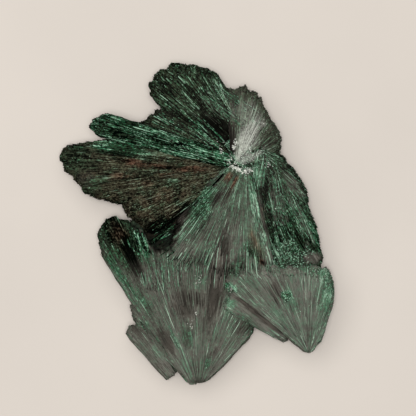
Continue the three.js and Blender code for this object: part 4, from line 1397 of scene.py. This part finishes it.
# Lines along the fibres, short breaks across them, and mottles where they crumble.
def fibreLinesGroup():
    tree, given, put = newGroup(
        "fibreLines",
        {
            "Coordinates": "Vector",
            "Position": "Vector",
            "Lines per mm": 1.8,
            "Length of a line": 8.0,
            "Breaks per mm": 1.2,
            "Mottles per mm": 1.3,
        },
        {"Lines": "Float", "Breaks": "Float", "Mottles": "Float", "Patches": "Float"},
    )
    apart = addNode(tree, "SeparateXYZ", {0: given["Coordinates"]}).outputs
    across = mathNode(tree, "MULTIPLY", apart[0], given["Lines per mm"])
    along = mathNode(tree, "DIVIDE", apart[1], given["Length of a line"])
    place = addNode(tree, "CombineXYZ", {0: across, 1: along, 2: apart[2]}).outputs[0]
    tree.links.new(noise(tree, place, 1.0, 4.0, 0.65), put["Lines"])
    along = mathNode(tree, "MULTIPLY", apart[1], given["Breaks per mm"])
    place = addNode(tree, "CombineXYZ", {0: across, 1: along, 2: apart[2]}).outputs[0]
    tree.links.new(noise(tree, place, 1.0, 2.0), put["Breaks"])
    scale = mathNode(tree, "MULTIPLY", given["Mottles per mm"], 1000.0)
    tree.links.new(noise(tree, given["Position"], scale, 3.0, 0.6), put["Mottles"])
    tree.links.new(noise(tree, given["Position"], 330.0, 2.0), put["Patches"])
    return tree


# A tone turned into a colour: dark at 0 and below, then middle, green and light.
def toneGroup():
    tree, given, put = newGroup(
        "toneColour",
        {"Tone": 0.5, "Dark": "Color", "Middle": "Color", "Green": "Color", "Light": "Color"},
        {"Color": "Color"},
    )
    colour = given["Dark"]
    for low, high, name in ((0.0, 0.4, "Middle"), (0.4, 0.75, "Green"), (0.75, 1.1, "Light")):
        colour = mixColour(tree, mapped(tree, given["Tone"], (low, high)), colour, given[name])
    tree.links.new(colour, put["Color"])
    return tree


# Brown iron stain in the fibres: patchy, and darker where the tone holds the painted shade between them.
def stainGroup():
    tree, given, put = newGroup(
        "ironStain",
        {
            "Color": "Color",
            "Stain": 0.0,
            "Tone": 0.5,
            "Patches": 0.5,
            "Brown": "Color",
            "Red": "Color",
        },
        {"Color": "Color"},
    )
    brown = mixColour(tree, mapped(tree, given["Stain"], (0.62, 0.85)), given["Brown"], given["Red"])
    lit = mapped(tree, given["Tone"], (0.0, 0.8), (0.03, 1.9))
    brown = mixColour(tree, 1.0, brown, lit, "MULTIPLY")
    patchy = mapped(tree, given["Patches"], (0.35, 0.55), (0.5, 1.0))
    share = mathNode(tree, "MULTIPLY", given["Stain"], patchy, clamp=True)
    tree.links.new(mixColour(tree, share, given["Color"], brown), put["Color"])
    return tree


fibreLines, toneColour, ironStain = fibreLinesGroup(), toneGroup(), stainGroup()

fibreFinish = {
    "dark": (0.0005, 0.002, 0.001),
    "middle": (0.030, 0.049, 0.028),
    "green": (0.022, 0.150, 0.068),
    "light": (0.340, 0.560, 0.410),
    # Pale colours for fibres greyed partly by a painted veil of glare.
    "paleDark": (0.100, 0.090, 0.076),
    "paleMiddle": (0.174, 0.172, 0.149),
    "paleGreen": (0.145, 0.250, 0.175),
    "paleLight": (0.340, 0.440, 0.350),
    "brown": (0.074, 0.061, 0.041),
    "red": (0.108, 0.054, 0.036),
    # The colour of the whitish painted sheen.
    "paintedSheen": (0.700, 0.720, 0.660),
    "sheenByTone": (0.7, 0.35),  # how much the painted sheen follows the tone, and its amount at tone 0
    "linesPerMm": 2.8,
    "lineLength": 8.0,
    "breaksPerMm": 1.7,
    "mottlesPerMm": 1.6,
    "lineContrast": 1.9,
    "paleContrast": 0.38,
    "calmness": 0.8,
    "mottleContrast": 2.8,
    "evenMottle": 0.6,
    # Painted glints along the fibres, and painted shade in the gaps between them.
    "glintSpan": (0.56, 0.70),
    "glints": (0.0, 0.7),
    "gapShadingSpan": (0.30, 0.44),
    "gapShading": (0.65, 0.0),
    "roughness": 0.6,
    "roughnessSpread": 0.3,
    "mottleHeight": 0.5,
    "shine": 0.0,
    "ior": 1.5,
    "patchiness": 0.5,
    "bumps": {"Strength": 0.5, "Distance": 0.00015},
}


def emptyMaterial(name):
    material = bpy.data.materials.new(name)
    material.use_nodes = True
    tree = material.node_tree
    tree.nodes.clear()
    shader = addNode(tree, "BsdfPrincipled")
    output = addNode(tree, "OutputMaterial", {0: shader.outputs[0]})
    output.is_active_output = True
    return material, tree, shader


def readLayer(tree, name, kind="Fac"):
    return addNode(tree, "Attribute", attribute_name=name).outputs[kind]


def ramp(tree, tone, finish, names):
    colours = (rgba(finish[name]) for name in names)
    sockets = dict(zip(("Dark", "Middle", "Green", "Light"), colours))
    return useGroup(tree, toneColour, {"Tone": tone, **sockets})[0]


def silkyFibres():
    material, tree, shader = emptyMaterial("silkyMalachiteFibres")
    finish = fibreFinish
    coords = readLayer(tree, "fibreCoords", "Vector")
    place = addNode(tree, "TexCoord").outputs["Object"]
    paleAndGlare = readLayer(tree, "paleAndGlare")
    crumbs = readLayer(tree, "crumbs")
    lines = useGroup(tree, fibreLines, {
        "Coordinates": coords,
        "Position": place,
        "Lines per mm": finish["linesPerMm"],
        "Length of a line": finish["lineLength"],
        "Breaks per mm": finish["breaksPerMm"],
        "Mottles per mm": finish["mottlesPerMm"],
    })
    straight = mathNode(tree, "SUBTRACT", 1.0, crumbs)
    waver = swing(tree, lines["Lines"], finish["lineContrast"])
    # Painted glints and painted shade: bright dashes along the fibres and dark gaps between them.
    glint = mapped(tree, lines["Breaks"], finish["glintSpan"], finish["glints"])
    gap = mapped(tree, lines["Breaks"], finish["gapShadingSpan"], finish["gapShading"])
    dashes = mathNode(tree, "SUBTRACT", glint, gap)
    dashes = mathNode(tree, "MULTIPLY", dashes, mathNode(tree, "SUBTRACT", 1.1, paleAndGlare))
    waver = mathNode(tree, "ADD", waver, dashes)
    waver = mathNode(tree, "MULTIPLY", waver, straight)
    mottle = swing(tree, lines["Mottles"], finish["mottleContrast"])
    mottling = mathNode(tree, "MAXIMUM", crumbs, finish["evenMottle"])
    waver = mathNode(tree, "MULTIPLY_ADD", mottle, mottling, waver)
    contrast = mathNode(tree, "MULTIPLY_ADD", paleAndGlare, finish["paleContrast"] - 1.0, 1.0)
    calm = mathNode(tree, "MULTIPLY_ADD", readLayer(tree, "calm"), -finish["calmness"], 1.0)
    contrast = mathNode(tree, "MULTIPLY", contrast, calm)
    patches = swing(tree, lines["Patches"], finish["patchiness"])
    waver = mathNode(tree, "MULTIPLY_ADD", waver, contrast, patches)
    tone = mathNode(tree, "ADD", readLayer(tree, "tone"), waver)
    # Vivid colours, and pale ones where the fibres are greyed, partly by a painted veil of glare.
    vivid = ramp(tree, tone, finish, ("dark", "middle", "green", "light"))
    dull = ramp(tree, tone, finish, ("paleDark", "paleMiddle", "paleGreen", "paleLight"))
    colour = mixColour(tree, paleAndGlare, vivid, dull)
    colour = useGroup(tree, ironStain, {
        "Color": colour,
        "Stain": readLayer(tree, "stain"),
        "Tone": tone,
        "Patches": lines["Patches"],
        "Brown": rgba(finish["brown"]),
        "Red": rgba(finish["red"]),
    })[0]
    # Painted sheen: the colour is mixed towards whitish where the sheen layer is set, more so where the tone
    # is light.
    bright = mathNode(tree, "MULTIPLY_ADD", tone, *finish["sheenByTone"])
    paintedSheen = mathNode(tree, "MULTIPLY", readLayer(tree, "paintedSheen"), bright, clamp=True)
    colour = mixColour(tree, paintedSheen, colour, rgba(finish["paintedSheen"]))
    tree.links.new(colour, shader.inputs["Base Color"])
    spread = finish["roughnessSpread"]
    rough = mathNode(tree, "MULTIPLY_ADD", lines["Lines"], spread, finish["roughness"] - spread / 2)
    tree.links.new(rough, shader.inputs["Roughness"])
    shader.inputs["IOR"].default_value = finish["ior"]
    shader.inputs["Specular IOR Level"].default_value = finish["shine"]
    height = mathNode(tree, "MULTIPLY_ADD", lines["Mottles"], finish["mottleHeight"], lines["Lines"])
    bump = addNode(tree, "Bump", {**finish["bumps"], "Height": height})
    tree.links.new(bump.outputs[0], shader.inputs["Normal"])
    return material


backFinish = {
    "dark": (0.003, 0.005, 0.003),
    "middle": (0.014, 0.020, 0.013),
    "green": (0.035, 0.060, 0.035),
    "light": (0.110, 0.120, 0.080),
    "brown": (0.030, 0.022, 0.013),
    "brownPerM": 160.0,
    "brownSpan": (0.5, 0.65),
    "brownest": 0.7,
    "linesPerMm": 2.0,
    "lineLength": 2.0,
    "crumbsPerM": 700.0,
    "crumbContrast": 1.4,
    "streakContrast": 0.8,
    "darker": -0.6,
    "roughness": 0.8,
    "shine": 0.1,
    "bumps": {"Strength": 0.7, "Distance": 0.0004},
}


def brokenStone():
    material, tree, shader = emptyMaterial("brokenMalachiteBack")
    finish = backFinish
    coords = readLayer(tree, "fibreCoords", "Vector")
    place = addNode(tree, "TexCoord").outputs["Object"]
    lines = useGroup(tree, fibreLines, {
        "Coordinates": coords,
        "Position": place,
        "Lines per mm": finish["linesPerMm"],
        "Length of a line": finish["lineLength"],
    })
    crumb = noise(tree, place, finish["crumbsPerM"], 5.0)
    streaks = mathNode(tree, "MULTIPLY_ADD", lines["Lines"], finish["streakContrast"], finish["darker"])
    tone = mathNode(tree, "ADD", mathNode(tree, "MULTIPLY", crumb, finish["crumbContrast"]), streaks)
    tone = mathNode(tree, "ADD", tone, readLayer(tree, "tone"))
    colour = ramp(tree, tone, finish, ("dark", "middle", "green", "light"))
    earthy = noise(tree, place, finish["brownPerM"], 3.0)
    earthy = mapped(tree, earthy, finish["brownSpan"], (0.0, finish["brownest"]))
    tree.links.new(mixColour(tree, earthy, colour, rgba(finish["brown"])), shader.inputs["Base Color"])
    shader.inputs["Roughness"].default_value = finish["roughness"]
    shader.inputs["Specular IOR Level"].default_value = finish["shine"]
    bump = addNode(tree, "Bump", {**finish["bumps"], "Height": crumb})
    tree.links.new(bump.outputs[0], shader.inputs["Normal"])
    return material


fibreMaterial = silkyFibres()
print("materials made")
fanShapes = [fanGrids(fan, fanIndex) for fanIndex, fan in enumerate(fans.values())]
backShape = backGrid()
mapSurface([grids["top"] for grids in fanShapes] + [backShape[0]])
total = 0
for fanIndex, (name, fan) in enumerate(fans.items()):
    total += makeFan(name, fan, fanShapes[fanIndex], fanIndex, fibreMaterial)
total += makeTufts(fibreMaterial)
total += makeCrossings(fibreMaterial)
total += makeBack(backShape, brokenStone())
print("pieces made,", total, "triangles")

studio = {
    "floorColour": (0.60, 0.555, 0.51),
    "floorSize": 3.0,
    "cloudsPerM": 14.0,
    "cloudSpan": (0.3, 0.7),
    "cloudShade": 0.94,
    "paperRoughness": 0.9,
    "paperShine": 0.2,
    "skyColour": (1.0, 0.985, 0.97),
    "skyStrength": 0.11,
    "lens": 180.0,
    "sensor": 36.0,
    "clip": (0.01, 20.0),
    "frameWidth": 0.104,
    "aim": (0.0028, 0.00416, 0.015),
    # (place, size, power, colour)
    "lamps": (
        ((-0.10, 0.13, 0.72), 0.60, 3.0, (1.0, 0.98, 0.95)),
        ((0.0, 0.0, 0.85), 0.16, 5.0, (1.0, 0.985, 0.965)),
    ),
}


def makeStudio():
    half = studio["floorSize"] / 2
    mesh = bpy.data.meshes.new("floor")
    corners = [(-half, -half, 0), (half, -half, 0), (half, half, 0), (-half, half, 0)]
    mesh.from_pydata(corners, [], [(0, 1, 2, 3)])
    floor = bpy.data.objects.new("floor", mesh)
    bpy.context.collection.objects.link(floor)
    material, tree, shader = emptyMaterial("palePaper")
    place = addNode(tree, "TexCoord").outputs["Object"]
    cloud = mapped(tree, noise(tree, place, studio["cloudsPerM"], 3.0), studio["cloudSpan"])
    darker = tuple(value * studio["cloudShade"] for value in studio["floorColour"])
    paper = mixColour(tree, cloud, rgba(darker), rgba(studio["floorColour"]))
    tree.links.new(paper, shader.inputs["Base Color"])
    shader.inputs["Roughness"].default_value = studio["paperRoughness"]
    shader.inputs["Specular IOR Level"].default_value = studio["paperShine"]
    mesh.materials.append(material)

    world = bpy.data.worlds.new("softRoom")
    world.use_nodes = True
    sky = world.node_tree.nodes["Background"]
    sky.inputs[0].default_value = rgba(studio["skyColour"])
    sky.inputs[1].default_value = studio["skyStrength"]
    bpy.context.scene.world = world

    aim = Vector(studio["aim"])
    for number, (place, size, power, colour) in enumerate(studio["lamps"]):
        data = bpy.data.lights.new(f"softLamp{number}", "AREA")
        data.shape, data.size, data.energy, data.color = "DISK", size, power, colour
        lamp = bpy.data.objects.new(f"softLamp{number}", data)
        lamp.location = place
        lamp.rotation_euler = (aim - Vector(place)).to_track_quat("-Z", "Y").to_euler()
        bpy.context.collection.objects.link(lamp)

    data = bpy.data.cameras.new("camera")
    data.lens, data.sensor_width = studio["lens"], studio["sensor"]
    data.clip_start, data.clip_end = studio["clip"]
    camera = bpy.data.objects.new("camera", data)
    distance = studio["frameWidth"] * studio["lens"] / data.sensor_width
    camera.location = aim + Vector((0, 0, distance))
    bpy.context.collection.objects.link(camera)
    bpy.context.scene.camera = camera
    bpy.context.scene.view_settings.view_transform = "Standard"


makeStudio()
print("studio made")
